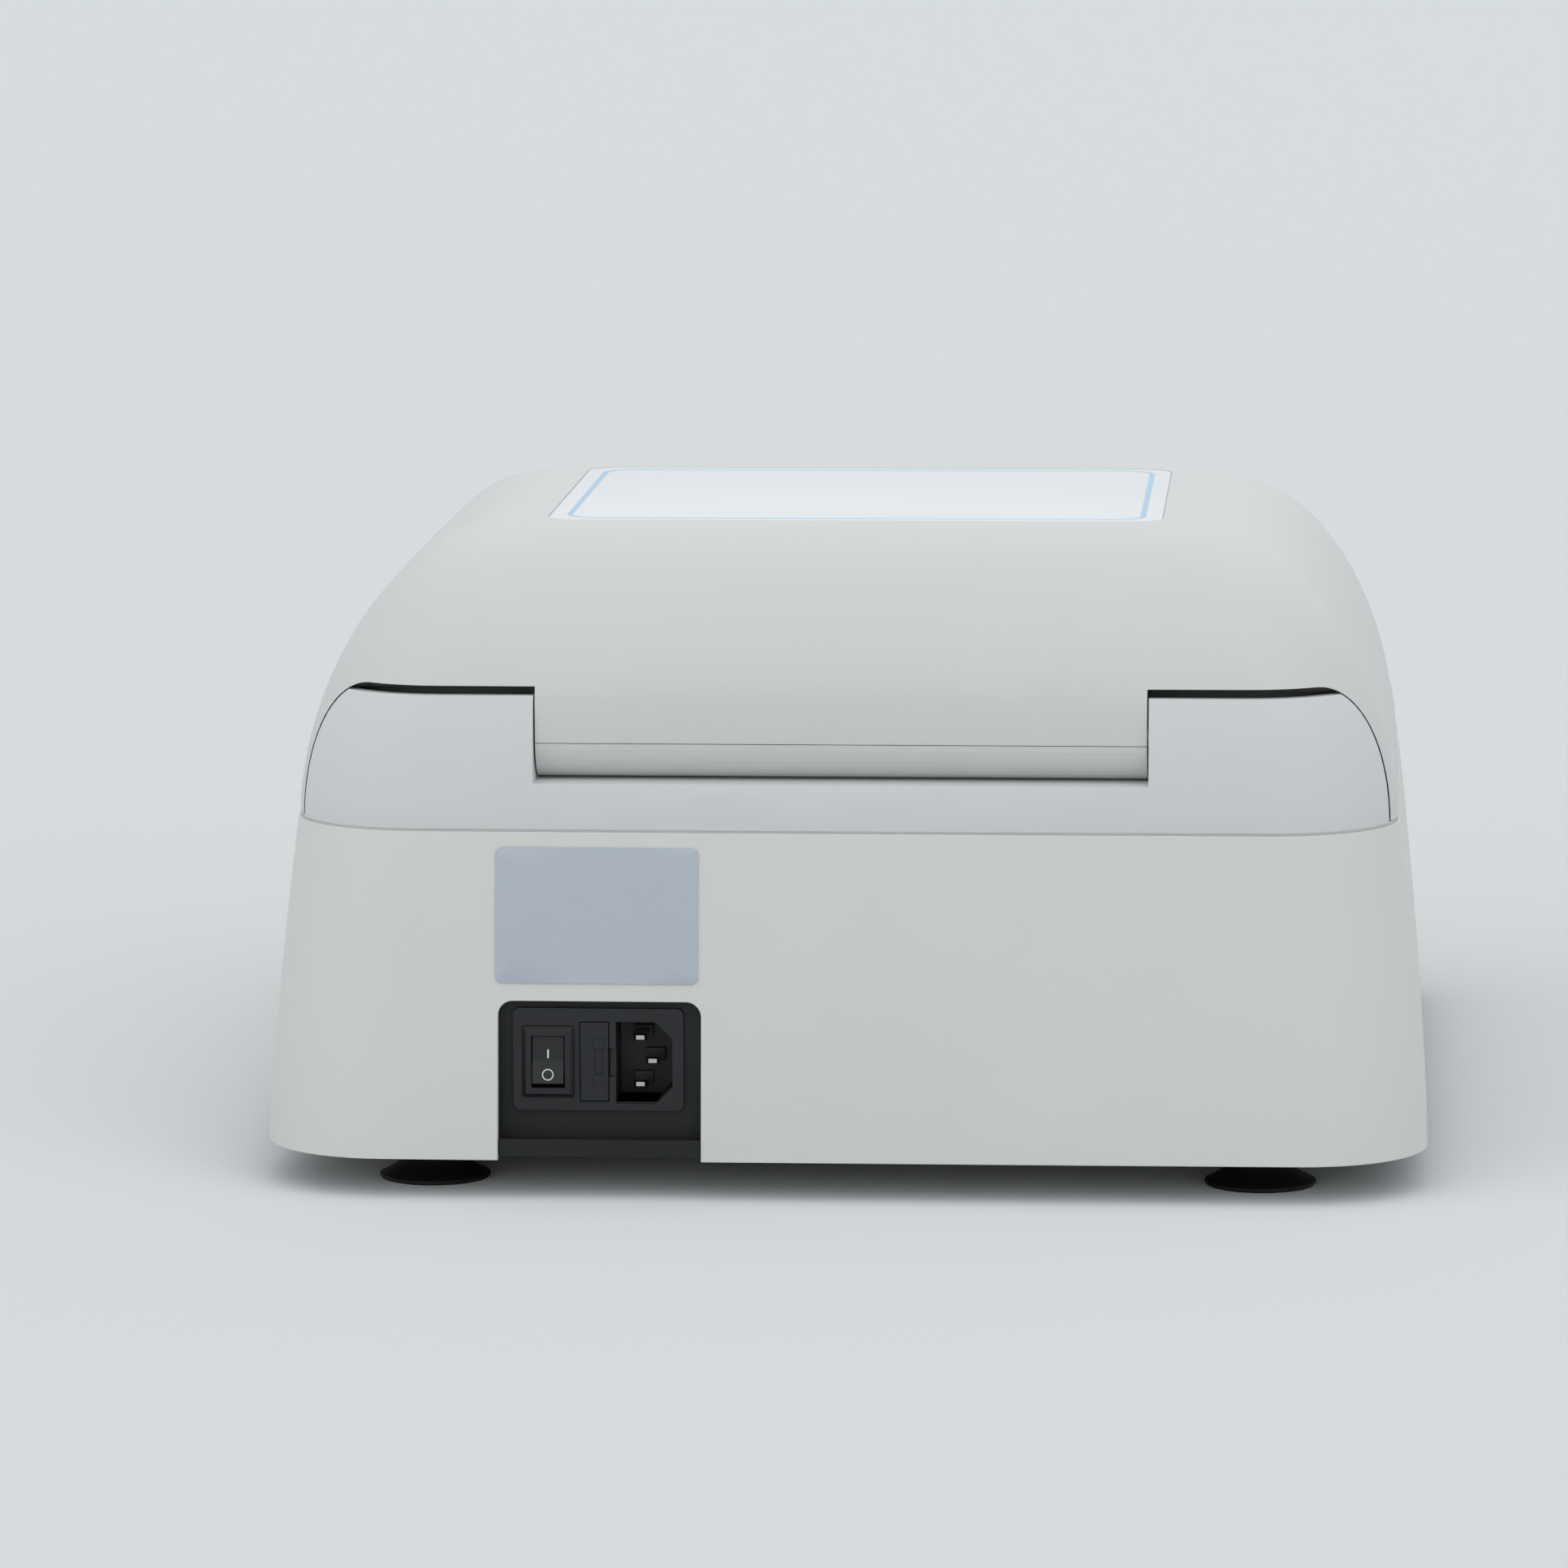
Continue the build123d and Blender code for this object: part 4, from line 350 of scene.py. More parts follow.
class Form:
    """A mesh under construction, measured in millimetres and laid down at a place in the row frame."""

    def __init__(self, place: Matrix | None = None) -> None:
        """Starts an empty mesh.

        Args:
            place: where its own axes lie in the row frame, with its shift in millimetres.
        """
        self.mesh = bmesh.new()
        self.place = place or Matrix.Identity(4)

    def at(self, place: Matrix) -> "Form":
        """Moves the place for what comes next and returns the form."""
        self.place = place
        return self

    def _settle(self, known: set[bmesh.types.BMVert]) -> None:
        """Lays what was just made at the form's place.

        Args:
            known: the vertices that were there before.
        """
        new = [vert for vert in self.mesh.verts if vert not in known]
        bmesh.ops.transform(self.mesh, matrix=self.place, verts=new)
        faces = list({face for vert in new for face in vert.link_faces})
        bmesh.ops.recalc_face_normals(self.mesh, faces=faces)

    def block(self, low: Point, high: Point, radius: float = 0.0, segments: int = 3) -> "Form":
        """Adds a box with rounded edges.

        Args:
            low: lowest corner.
            high: highest corner.
            radius: edge radius, 0 for sharp.
            segments: steps in the radius.

        Returns:
            The form.
        """
        known = set(self.mesh.verts)
        size = Vector(high) - Vector(low)
        middle = (Vector(high) + Vector(low)) / 2
        matrix = Matrix.Translation(middle) @ Matrix.Diagonal((size.x, size.y, size.z, 1))
        made = bmesh.ops.create_cube(self.mesh, size=1.0, matrix=matrix)["verts"]
        if radius:
            edges = list({edge for vert in made for edge in vert.link_edges})
            bmesh.ops.bevel(self.mesh, geom=edges, offset=radius, affect="EDGES", segments=segments, profile=0.5,
                            material=-1)
        self._settle(known)
        return self

    def spun(self, profile: list[Pair], steps: int = 48) -> "Form":
        """Spins an outline of radius and height about the place's third axis.

        Args:
            profile: radius and height of each point.
            steps: steps in the turn.

        Returns:
            The form.
        """
        known = set(self.mesh.verts)
        verts = [self.mesh.verts.new((radius, 0, height)) for radius, height in profile]
        edges = [self.mesh.edges.new(pair) for pair in zip(verts, verts[1:])]
        bmesh.ops.spin(self.mesh, geom=verts + edges, cent=(0, 0, 0), axis=(0, 0, 1), dvec=(0, 0, 0),
                       angle=FULL_TURN, steps=steps, use_merge=True)
        new = [vert for vert in self.mesh.verts if vert not in known]
        bmesh.ops.remove_doubles(self.mesh, verts=new, dist=0.001)
        self._settle(known)
        return self

    def prism(self, points: list[Pair], low: float, high: float, centre: Pair = (0, 0), radius: float = 0.0,
              segments: int = 2, shrink: float = 1.0) -> "Form":
        """Extrudes a flat outline along the place's third axis.

        Args:
            points: the outline.
            low: where it begins.
            high: where it ends.
            centre: shift of the outline.
            radius: radius of its upper edge.
            segments: steps in the radius.
            shrink: size of its upper end beside its lower one.

        Returns:
            The form.
        """
        known = set(self.mesh.verts)
        face = self.mesh.faces.new([self.mesh.verts.new((x + centre[0], y + centre[1], low)) for x, y in points])
        made = bmesh.ops.extrude_face_region(self.mesh, geom=[face])["geom"]
        top = [item for item in made if isinstance(item, bmesh.types.BMVert)]
        bmesh.ops.translate(self.mesh, verts=top, vec=(0, 0, high - low))
        bmesh.ops.scale(self.mesh, verts=top, vec=(shrink, shrink, 1),
                        space=Matrix.Translation((-centre[0], -centre[1], 0)))
        if radius:
            rim = [item for item in made if isinstance(item, bmesh.types.BMEdge)]
            bmesh.ops.bevel(self.mesh, geom=rim, offset=radius, affect="EDGES", segments=segments, profile=0.5,
                            material=-1)
        self._settle(known)
        return self

    def band(self, outer: list[Pair], inner: list[Pair], low: float, high: float, centre: Pair = (0, 0)) -> "Form":
        """Extrudes the band between two outlines with the same number of points.

        Args:
            outer: outer outline.
            inner: inner outline.
            low: where it begins.
            high: where it ends.
            centre: shift of both outlines.

        Returns:
            The form.
        """
        known = set(self.mesh.verts)
        rings = [[self.mesh.verts.new((x + centre[0], y + centre[1], low)) for x, y in line]
                 for line in (outer, inner)]
        count = len(outer)
        faces = [self.mesh.faces.new((rings[0][i], rings[0][(i + 1) % count], rings[1][(i + 1) % count], rings[1][i]))
                 for i in range(count)]
        made = bmesh.ops.extrude_face_region(self.mesh, geom=faces)["geom"]
        top = [item for item in made if isinstance(item, bmesh.types.BMVert)]
        bmesh.ops.translate(self.mesh, verts=top, vec=(0, 0, high - low))
        self._settle(known)
        return self

    def coil(self, radius: float, wire: float, turns: float, rise: float) -> "Form":
        """Winds a wire about the place's third axis.

        Args:
            radius: coil radius to the wire's centre.
            wire: wire radius.
            turns: number of turns.
            rise: height gained by all turns.

        Returns:
            The form.
        """
        known = set(self.mesh.verts)
        steps = int(turns * 20)
        matrix = Matrix.Translation((radius, 0, wire)) @ Matrix.Rotation(math.pi / 2, 4, "X")
        ring = bmesh.ops.create_circle(self.mesh, cap_ends=False, segments=8, radius=wire, matrix=matrix)["verts"]
        edges = list({edge for vert in ring for edge in vert.link_edges})
        bmesh.ops.spin(self.mesh, geom=ring + edges, cent=(0, 0, 0), axis=(0, 0, 1), dvec=(0, 0, rise / steps),
                       angle=FULL_TURN * turns, steps=steps, use_merge=False)
        open_edges = [edge for edge in self.mesh.edges if edge.is_boundary]
        bmesh.ops.holes_fill(self.mesh, edges=open_edges, sides=8)
        self._settle(known)
        return self

    def piece(self, name: str, finish: Finish, body: str, *nodes: str, angle: float = SMOOTH_ANGLE
              ) -> bpy.types.Object:
        """Ends the mesh as a piece that rides on a body.

        Args:
            name: the piece's name.
            finish: its finish.
            body: the CAD body it rides on.
            nodes: the CAD nodes it stands for.
            angle: the angle in radians above which an edge stays sharp.

        Returns:
            The new object.
        """
        bmesh.ops.scale(self.mesh, vec=(MM, MM, MM), verts=self.mesh.verts)
        mesh = bpy.data.meshes.new(name)
        self.mesh.to_mesh(mesh)
        self.mesh.free()
        mesh.materials.append(finish.material())
        made = bpy.data.objects.new(name, mesh)
        bpy.context.scene.collection.objects.link(made)
        mesh.shade_smooth()
        mesh.set_sharp_from_angle(angle=angle)
        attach(made, body)
        if nodes:
            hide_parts(*nodes)
        log.info("%s: %d faces on %s", name, len(mesh.polygons), body)
        return made


def soften(piece: bpy.types.Object, width: float, segments: int = 3, angle: float = 40.0) -> None:
    """Adds a small edge radius, as a mould or a file leaves it.

    Args:
        piece: the mesh object.
        width: bevel width in millimetres.
        segments: steps in the radius.
        angle: least edge angle in degrees.
    """
    bevel = piece.modifiers.new("edge_radius", "BEVEL")
    bevel.width = width * MM
    bevel.segments = segments
    bevel.limit_method = "ANGLE"
    bevel.angle_limit = math.radians(angle)
    bevel.use_clamp_overlap = True
    bevel.harden_normals = False


def copy_of_node(node: str, name: str, width: float, segments: int = 3, flat: bool = True) -> bpy.types.Object:
    """Makes a merged copy of a CAD node with softened edges, which stands for it.

    Args:
        node: the CAD node.
        name: the new piece's name.
        width: edge radius in millimetres.
        segments: steps in the radius.
        flat: whether flat faces are joined first, which a large curved moulding goes without.

    Returns:
        The new piece.
    """
    source = frame["nodes"][node]
    form = Form()
    form.mesh.from_mesh(source.data)
    bmesh.ops.scale(form.mesh, vec=(1 / MM,) * 3, verts=form.mesh.verts)
    bmesh.ops.remove_doubles(form.mesh, verts=form.mesh.verts, dist=0.002)
    if flat:
        bmesh.ops.dissolve_limit(form.mesh, angle_limit=math.radians(0.6), verts=form.mesh.verts,
                                 edges=form.mesh.edges, use_dissolve_boundaries=False)
    else:
        level = [edge for edge in form.mesh.edges if edge.calc_face_angle(math.pi) < math.radians(1.0)]
        bmesh.ops.beautify_fill(form.mesh, faces=form.mesh.faces, edges=level)
    made = form.piece(name, NODE_FINISHES[node], source["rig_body"], node)
    soften(made, width, segments)
    return made


@dataclass
class Housing:
    """Base, upper half, base plate, feet and case screws."""

    shell_edge: float = 0.5
    base_edge: float = 0.2
    plate_edge: float = 0.4
    foot_profile: list[Pair] = field(default_factory=lambda: [
        (0, 2.2), (8.0, 1.8), (11.5, 1.0), (13.5, 0.0), (16.2, 0.0), (16.7, 0.5), (16.6, 1.3), (14.6, 2.3),
        (12.0, 3.8), (10.2, 5.4), (9.2, 7.2), (8.8, 8.8), (8.8, 9.6), (9.4, 10.1), (9.4, 13.2), (3.0, 13.3),
        (3.0, 20.6), (2.6, 21.0), (0, 21.0)])

    def build(self) -> None:
        """Makes the housing's pieces."""
        copy_of_node("base_housing", "base_moulding", self.base_edge, 2, flat=False)
        copy_of_node("upper_housing", "upper_moulding", self.shell_edge, flat=False)
        copy_of_node("base_plate", "floor_sheet", self.plate_edge)
        copy_of_node("rating_plate", "rating_foil", 0.12, 2, flat=False)
        self._feet()
        self._screws()
        copy_of_node("foot_nuts", "hexagon_nuts", 0.3)

    def _feet(self) -> None:
        """Turns the four suction feet with their cups, necks and studs."""
        low, high = low_of("suction_feet"), high_of("suction_feet")
        rim = max(radius for radius, _ in self.foot_profile)
        form = Form()
        for x in (low.x + rim, high.x - rim):
            for y in (low.y + rim, high.y - rim):
                form.at(Matrix.Translation((x, y, 0))).spun(self.foot_profile, 56)
        form.piece("suction_cups", RUBBER, "root", "suction_feet")

    def _screws(self) -> None:
        """Turns the case screws: domed head with a hexagon socket, and shank."""
        source = frame["nodes"]["housing_screws"]
        low, high = low_of("housing_screws"), high_of("housing_screws")
        head_r, head_t, shank_r = 4.0, 1.6, 2.0
        heads = {(round(v.co.x / MM), round(v.co.y / MM)) for v in source.data.vertices}
        form = Form()
        places: list[Pair] = []
        for x, y in sorted(heads):
            if all(math.dist((x, y), other) > 3 * head_r for other in places):
                places.append(self._middle(source, x, y, 3 * head_r))
        for x, y in places:
            form.at(Matrix.Translation((x, y, low.z)))
            form.spun([(0, 1.1), (1.4, 1.1), (1.5, 0.0), (3.4, 0.0), (head_r, 0.6), (head_r, head_t),
                       (shank_r, head_t), (shank_r, high.z - low.z - 1), (shank_r - 0.8, high.z - low.z),
                       (0, high.z - low.z)], 24)
        form.piece("case_screws", ZINC, "root", "housing_screws")

    @staticmethod
    def _middle(source: bpy.types.Object, x: float, y: float, reach: float) -> Pair:
        """Finds the axis of the screw near a point.

        Args:
            source: the CAD node.
            x: across, in millimetres.
            y: along, in millimetres.
            reach: how far its points may be.

        Returns:
            The axis, in millimetres.
        """
        near = [v.co / MM for v in source.data.vertices if math.dist((v.co.x / MM, v.co.y / MM), (x, y)) < reach]
        xs, ys = [p.x for p in near], [p.y for p in near]
        return (min(xs) + max(xs)) / 2, (min(ys) + max(ys)) / 2


@dataclass
class Lid:
    """Domed shell, liner, label, seal and magnets."""

    shell_edge: float = 0.5
    line_inset: float = 5.0
    line_width: float = 1.7
    label_corner: float = 9.7

    def build(self) -> None:
        """Makes the lid's pieces."""
        copy_of_node("lid_outer_shell", "lid_moulding", self.shell_edge, flat=False)
        copy_of_node("lid_inner_shell", "lid_liner", self.shell_edge, flat=False)
        copy_of_node("lid_gasket", "lid_seal", 1.2, 4)
        copy_of_node("lid_magnets", "magnet_cups", 0.6)
        copy_of_node("strike_plates", "strike_discs", 0.3)
        copy_of_node("hinge_shaft", "hinge_pin", 0.6)
        self._label()

    def _label(self) -> None:
        """Lays the bare label sheet and its printed border line."""
        low, high = low_of("top_label"), high_of("top_label")
        middle = centre_of("top_label")
        half_w, half_h = (high.x - low.x) / 2, (high.y - low.y) / 2
        form = Form(Matrix.Translation((middle.x, middle.y, 0)))
        form.prism(rounded(half_w, half_h, self.label_corner), low.z, high.z, radius=0.08)
        form.piece("label_sheet", LABEL_FILM, "lid", "top_label")
        form = Form(Matrix.Translation((middle.x, middle.y, 0)))
        inner = self.line_inset + self.line_width
        form.band(rounded(half_w - self.line_inset, half_h - self.line_inset, self.label_corner),
                  rounded(half_w - inner, half_h - inner, self.label_corner - self.line_width),
                  high.z, high.z + 0.03)
        form.piece("label_border_line", LABEL_INK, "lid")


@dataclass
class Inlet:
    """Bracket, module, rocker switch, fuse drawer and blades."""

    tilt: float = 8.0
    slope: float = 5.7
    rocker_root: float = 3.5
    upper_mark: float = 1.9
    lower_mark: float = 4.3
    bezel_half_w: float = 7.5
    bezel_half_h: float = 10.5
    bezel_rise: float = 1.2
    groove: float = 0.45
    fuse_shift: float = 1.25
    blade_half_w: float = 2.0
    blade_half_h: float = 1.0
    tip: float = 1.3

    def build(self) -> None:
        """Makes the inlet's pieces."""
        copy_of_node("inlet_panel", "inlet_bracket", 0.4)
        copy_of_node("inlet_module", "inlet_moulding", 0.35)
        copy_of_node("power_rocker", "rocker_cap", 0.45)
        copy_of_node("fuse_drawer", "fuse_tray_moulding", 0.3)
        self._marks()
        self._bezel_groove()
        self._fuse_outline()
        self._blades()

    def _mark_place(self, side: int) -> Matrix:
        """Finds a face of the tilted rocker.

        Args:
            side: 1 for the upper face, -1 for the lower.

        Returns:
            The place of the mark, facing out of the rocker.
        """
        joint = next(j for j in frame["joints"] if j["name"] == "power_switch")
        pivot = Vector(joint["pos_m"]) / MM
        height = self.upper_mark if side > 0 else self.lower_mark
        out = self.rocker_root + height * math.tan(math.radians(self.slope))
        return (Matrix.Translation(pivot) @ Matrix.Rotation(math.radians(self.tilt), 4, "X")
                @ Matrix.Translation((0, out, side * height))
                @ Matrix.Rotation(math.radians(-side * self.slope), 4, "X") @ REAR_FACING)

    def _marks(self) -> None:
        """Prints I and O on the rocker."""
        form = Form(self._mark_place(1))
        form.prism(rounded(0.22, 1.3, 0.1, 2), 0.0, 0.03)
        form.at(self._mark_place(-1)).band(circle(1.7, 40), circle(1.42, 40), 0.0, 0.03)
        form.piece("rocker_marks", WHITE_INK, "rocker")

    def _bezel_groove(self) -> None:
        """Lays a thin near-black band round the switch's bezel: painted shade that stands for the groove setting the
        bezel off from the flange.
        """
        joint = next(j for j in frame["joints"] if j["name"] == "power_switch")
        pivot = Vector(joint["pos_m"]) / MM
        half_w, half_h, width = self.bezel_half_w, self.bezel_half_h, self.groove
        face = high_of("inlet_module").y - self.bezel_rise
        form = Form(Matrix.Translation((pivot.x, face, pivot.z)) @ REAR_FACING)
        form.band(rounded(half_w + width, half_h + width, 1.0, 4), rounded(half_w, half_h, 0.6, 4), -0.1, 0.02)
        # The band's near-black colour is painted shade of the groove round the bezel
        form.piece("bezel_groove_shade", GROOVE_SHADE_PAINT, "root")

    def _fuse_outline(self) -> None:
        """Lays thin near-black bands as the fine lines and the two small squares on the fuse drawer's face: painted
        shade of their recesses.
        """
        middle, face = centre_of("fuse_drawer"), high_of("fuse_drawer").y
        form = Form(Matrix.Translation((middle.x, face, middle.z)) @ REAR_FACING)
        across = self.fuse_shift
        for height in (-5.5, 5.5):
            form.band(rounded(1.8, 1.8, 0.3, 3), rounded(1.6, 1.6, 0.1, 3), -0.1, 0.02, (across, height))
        form.band(rounded(1.25, 3.75, 0.3, 3), rounded(1.05, 3.55, 0.1, 3), -0.1, 0.02, (across, 0))
        # The bands' near-black colour is painted shade of the recessed lines
        form.piece("fuse_tray_line_shade", GROOVE_SHADE_PAINT, "fuse_tray")

    def _blades(self) -> None:
        """Makes the three blades with tapered tips, and the square collars at their roots."""
        low, high = low_of("inlet_pins"), high_of("inlet_pins")
        half_w, half_h = self.blade_half_w, self.blade_half_h
        length = high.y - low.y
        places = [(high.x - half_w, high.z - half_h), (high.x - half_w, low.z + half_h),
                  (low.x + half_w, (low.z + high.z) / 2)]
        blades, collars = Form(), Form()
        for x, z in places:
            place = Matrix.Translation((x, low.y, z)) @ REAR_FACING
            blades.at(place).prism(rounded(half_w, half_h, 0.15, 2), 0.0, length - self.tip)
            blades.prism(rounded(half_w, half_h, 0.15, 2), length - self.tip, length, shrink=0.62)
            collars.at(place).prism(rounded(half_w + 0.9, half_h + 0.9, 0.3, 2), 0.0, 1.4, radius=0.2)
        blades.piece("socket_blades", NICKEL, "root", "inlet_pins")
        collars.piece("blade_collars", BLACK_NYLON, "root")


@dataclass
class ControlPanel:
    """Overlay, window, display, keys and board of the sloped front panel."""

    angle: float = math.degrees(math.atan2(140.0 - 117.5, 76.0))
    key_r: float = 6.0

    def build(self) -> None:
        """Makes the panel's pieces."""
        copy_of_node("control_overlay", "overlay_sheet", 0.15, 2)
        copy_of_node("display_window", "window_sheet", 0.15, 2)
        copy_of_node("display_module", "display_glass", 0.5)
        copy_of_node("control_board", "control_circuit", 0.2, 2)
        self._line()
        for index in range(1, 6):
            self._key(index)

    def _place(self, node: str) -> Matrix:
        """Finds the outward place over the middle of a node on the slope.

        Args:
            node: the CAD node.

        Returns:
            The place, its third axis out of the panel.
        """
        return Matrix.Translation(centre_of(node)) @ Matrix.Rotation(math.radians(self.angle), 4, "X")

    def _line(self) -> None:
        """Prints a fine pale frame line round the overlay."""
        form = Form(self._place("control_overlay"))
        form.band(rounded(111.0, 23.5, 3.5), rounded(110.3, 22.8, 2.8), 0.4, 0.43)
        form.piece("overlay_line", WHITE_INK, "root")

    def _key(self, index: int) -> None:
        """Turns a dished key cap and prints its plain mark.

        Args:
            index: the key's number, from 1.
        """
        node = f"key_{index}"
        place = self._place(node)
        half = self._half_depth(node)
        form = Form(place)
        rim = self.key_r
        form.spun([(0, half - 0.5), (rim * 0.5, half - 0.35), (rim - 1.0, half - 0.02), (rim - 0.5, half),
                   (rim - 0.12, half - 0.25), (rim, half - 0.7), (rim, -half + 1.2), (7.4, -half + 1.2),
                   (7.5, -half + 1.0), (7.5, -half), (0, -half)], 48)
        form.piece(f"key_cap_moulding_{index}", KEY_CAP, f"key_cap_{index}", node)
        mark = Form(place)
        outline = self._mark(index)
        mark.prism(outline, half - 0.45, half - 0.3)
        mark.piece(f"key_mark_{index}", SLATE_INK, f"key_cap_{index}")

    def _half_depth(self, node: str) -> float:
        """Returns half the depth of a key along the panel's normal, from its tilted box."""
        low, high = low_of(node), high_of(node)
        turn = math.radians(self.angle)
        flange = 7.5
        return ((high.z - low.z) - flange * math.sin(turn) - self.key_r * math.sin(turn)) / (2 * math.cos(turn))

    def _mark(self, index: int) -> list[Pair]:
        """Returns the outline of a key's mark: up, down, left, run and stop."""
        arrow = [(0, 2.0), (-1.9, -1.3), (1.9, -1.3)]
        turned = {1: 0, 2: 180, 3: 90, 4: -90}
        if index not in turned:
            return rounded(1.5, 1.5, 0.2, 3)
        turn = math.radians(turned[index])
        return [(x * math.cos(turn) - y * math.sin(turn), x * math.sin(turn) + y * math.cos(turn)) for x, y in arrow]


@dataclass
class Chamber:
    """Chamber pan, probe, platform, nests and clips."""

    spring_wire: float = 0.35

    def build(self) -> None:
        """Makes the pieces under the lid."""
        copy_of_node("chamber_tub", "chamber_pan", 0.5)
        copy_of_node("platform_plate", "platform_casting", 0.5)
        copy_of_node("plate_guides", "nest_rails", 0.6)
        copy_of_node("nest_dividers", "nest_bars", 0.6)
        for index in range(1, 5):
            copy_of_node(f"plate_clip_{index}", f"clip_lever_{index}", 0.6)
        self._probe()
        self._pins()
        self._springs()

    def _probe(self) -> None:
        """Turns the probe with its domed tip and crimp rings."""
        low, high = low_of("temperature_probe"), high_of("temperature_probe")
        middle = centre_of("temperature_probe")
        radius, length = (high.x - low.x) / 2, high.y - low.y
        place = Matrix.Translation((middle.x, low.y, middle.z)) @ Matrix.Rotation(-math.pi / 2, 4, "X")
        form = Form(place)
        form.spun([(0, 0), (radius - 0.2, 0), (radius, 0.2), (radius, 2.0), (radius - 0.25, 2.2), (radius - 0.25, 2.8),
                   (radius, 3.0), (radius, length - 1.8), (radius * 0.8, length - 0.8), (radius * 0.4, length - 0.1),
                   (0, length)], 32)
        form.piece("probe_sheath", GROUND_STEEL, "root", "temperature_probe")

    def _clip_axes(self) -> list[Pair]:
        """Returns the pivots of the four clips."""
        return [tuple(c / MM for c in joint["pos_m"][:2]) for joint in frame["joints"] if "_swing" in joint["name"]]

    def _pins(self) -> None:
        """Turns the clip pins with domed heads."""
        low, high = low_of("clip_pins"), high_of("clip_pins")
        length = high.z - low.z
        form = Form()
        for x, y in self._clip_axes():
            form.at(Matrix.Translation((x, y, low.z)))
            form.spun([(0, 0), (1.5, 0), (1.5, length - 1.0), (2.7, length - 1.0), (2.8, length - 0.8),
                       (2.4, length - 0.25), (1.4, length - 0.03), (0, length)], 32)
        form.piece("clip_pivots", GROUND_STEEL, "platform", "clip_pins")

    def _springs(self) -> None:
        """Winds the torsion springs of the clips."""
        low, high = low_of("clip_springs"), high_of("clip_springs")
        wire = self.spring_wire
        form = Form()
        for x, y in self._clip_axes():
            form.at(Matrix.Translation((x, y, low.z)))
            form.coil(2.2, wire, 3, high.z - low.z - 2 * wire)
        form.piece("clip_coils", GROUND_STEEL, "platform", "clip_springs")


@dataclass
class Drive:
    """Frame, spindle, bearings, pulleys, belt, motor and cranks."""

    edges: dict[str, tuple[str, float]] = field(default_factory=lambda: {
        "drive_frame": ("frame_casting", 0.8), "spindle": ("eccentric_spindle", 0.4),
        "counterweight": ("balance_weight", 0.6), "driven_pulley": ("large_pulley", 0.3),
        "motor_pulley": ("small_pulley", 0.3), "motor_shaft": ("rotor_shaft", 0.3),
        "platform_bushes": ("bronze_bushes", 0.3), "drive_belt": ("flat_belt", 0.3),
        **{f"idler_crank_{i}": (f"crank_turning_{i}", 0.3) for i in range(1, 5)}})

    def build(self) -> None:
        """Makes the drive's pieces."""
        for node, (name, width) in self.edges.items():
            copy_of_node(node, name, width)
        self._bearings("main_bearings", "root", [(0.0, 43.0)], 14.0, 6.05, 8.0)
        cranks = [tuple(c / MM for c in j["pos_m"][:2]) for j in frame["joints"] if j["name"].startswith("crank")]
        self._bearings("crank_bearings", "root", cranks, 8.0, 4.05, 6.0)
        self._bearings("platform_bearing", "platform", [(1.5, 43.0)], 11.0, 5.05, 12.0)
        self._motor()

    def _bearings(self, node: str, body: str, axes: list[Pair], outer: float, bore: float, depth: float) -> None:
        """Turns ball bearings with races and a recessed shield.

        Args:
            node: the CAD node.
            body: its body.
            axes: the bearings' axes.
            outer: outer radius.
            bore: bore radius.
            depth: width of one bearing.
        """
        low, high = low_of(node), high_of(node)
        floors = [low.z] if high.z - low.z < depth + 1 else [low.z, high.z - depth]
        race = (outer - bore) * 0.28
        profile = [(bore + 0.2, 0), (bore + race, 0), (bore + race, 0.4), (outer - race, 0.4), (outer - race, 0),
                   (outer - 0.25, 0), (outer, 0.25), (outer, depth - 0.25), (outer - 0.25, depth),
                   (outer - race, depth), (outer - race, depth - 0.4), (bore + race, depth - 0.4),
                   (bore + race, depth), (bore + 0.2, depth), (bore, depth - 0.2), (bore, 0.2), (bore + 0.2, 0)]
        form = Form()
        for x, y in axes:
            for floor in floors:
                form.at(Matrix.Translation((x, y, floor))).spun(profile, 40)
        form.piece(f"{node}_turned", GROUND_STEEL, body, node)

    def _motor(self) -> None:
        """Turns the motor can with its end bell."""
        low, high = low_of("drive_motor"), high_of("drive_motor")
        middle = centre_of("drive_motor")
        radius, length = (high.x - low.x) / 2, high.z - low.z
        form = Form(Matrix.Translation((middle.x, middle.y, low.z)))
        form.spun([(3.05, 14.0), (3.05, 0), (6.0, 0), (6.5, 0.5), (6.5, 1.4), (radius - 4, 1.4), (radius - 1.5, 2.0),
                   (radius, 3.6), (radius, 6.0), (radius - 0.5, 6.4), (radius - 0.5, 7.2), (radius, 7.6),
                   (radius, length - 1), (radius - 1, length), (0, length), (0, 14.3), (3.05, 14.3)], 64)
        form.piece("motor_can", MOTOR_ENAMEL, "root", "drive_motor")


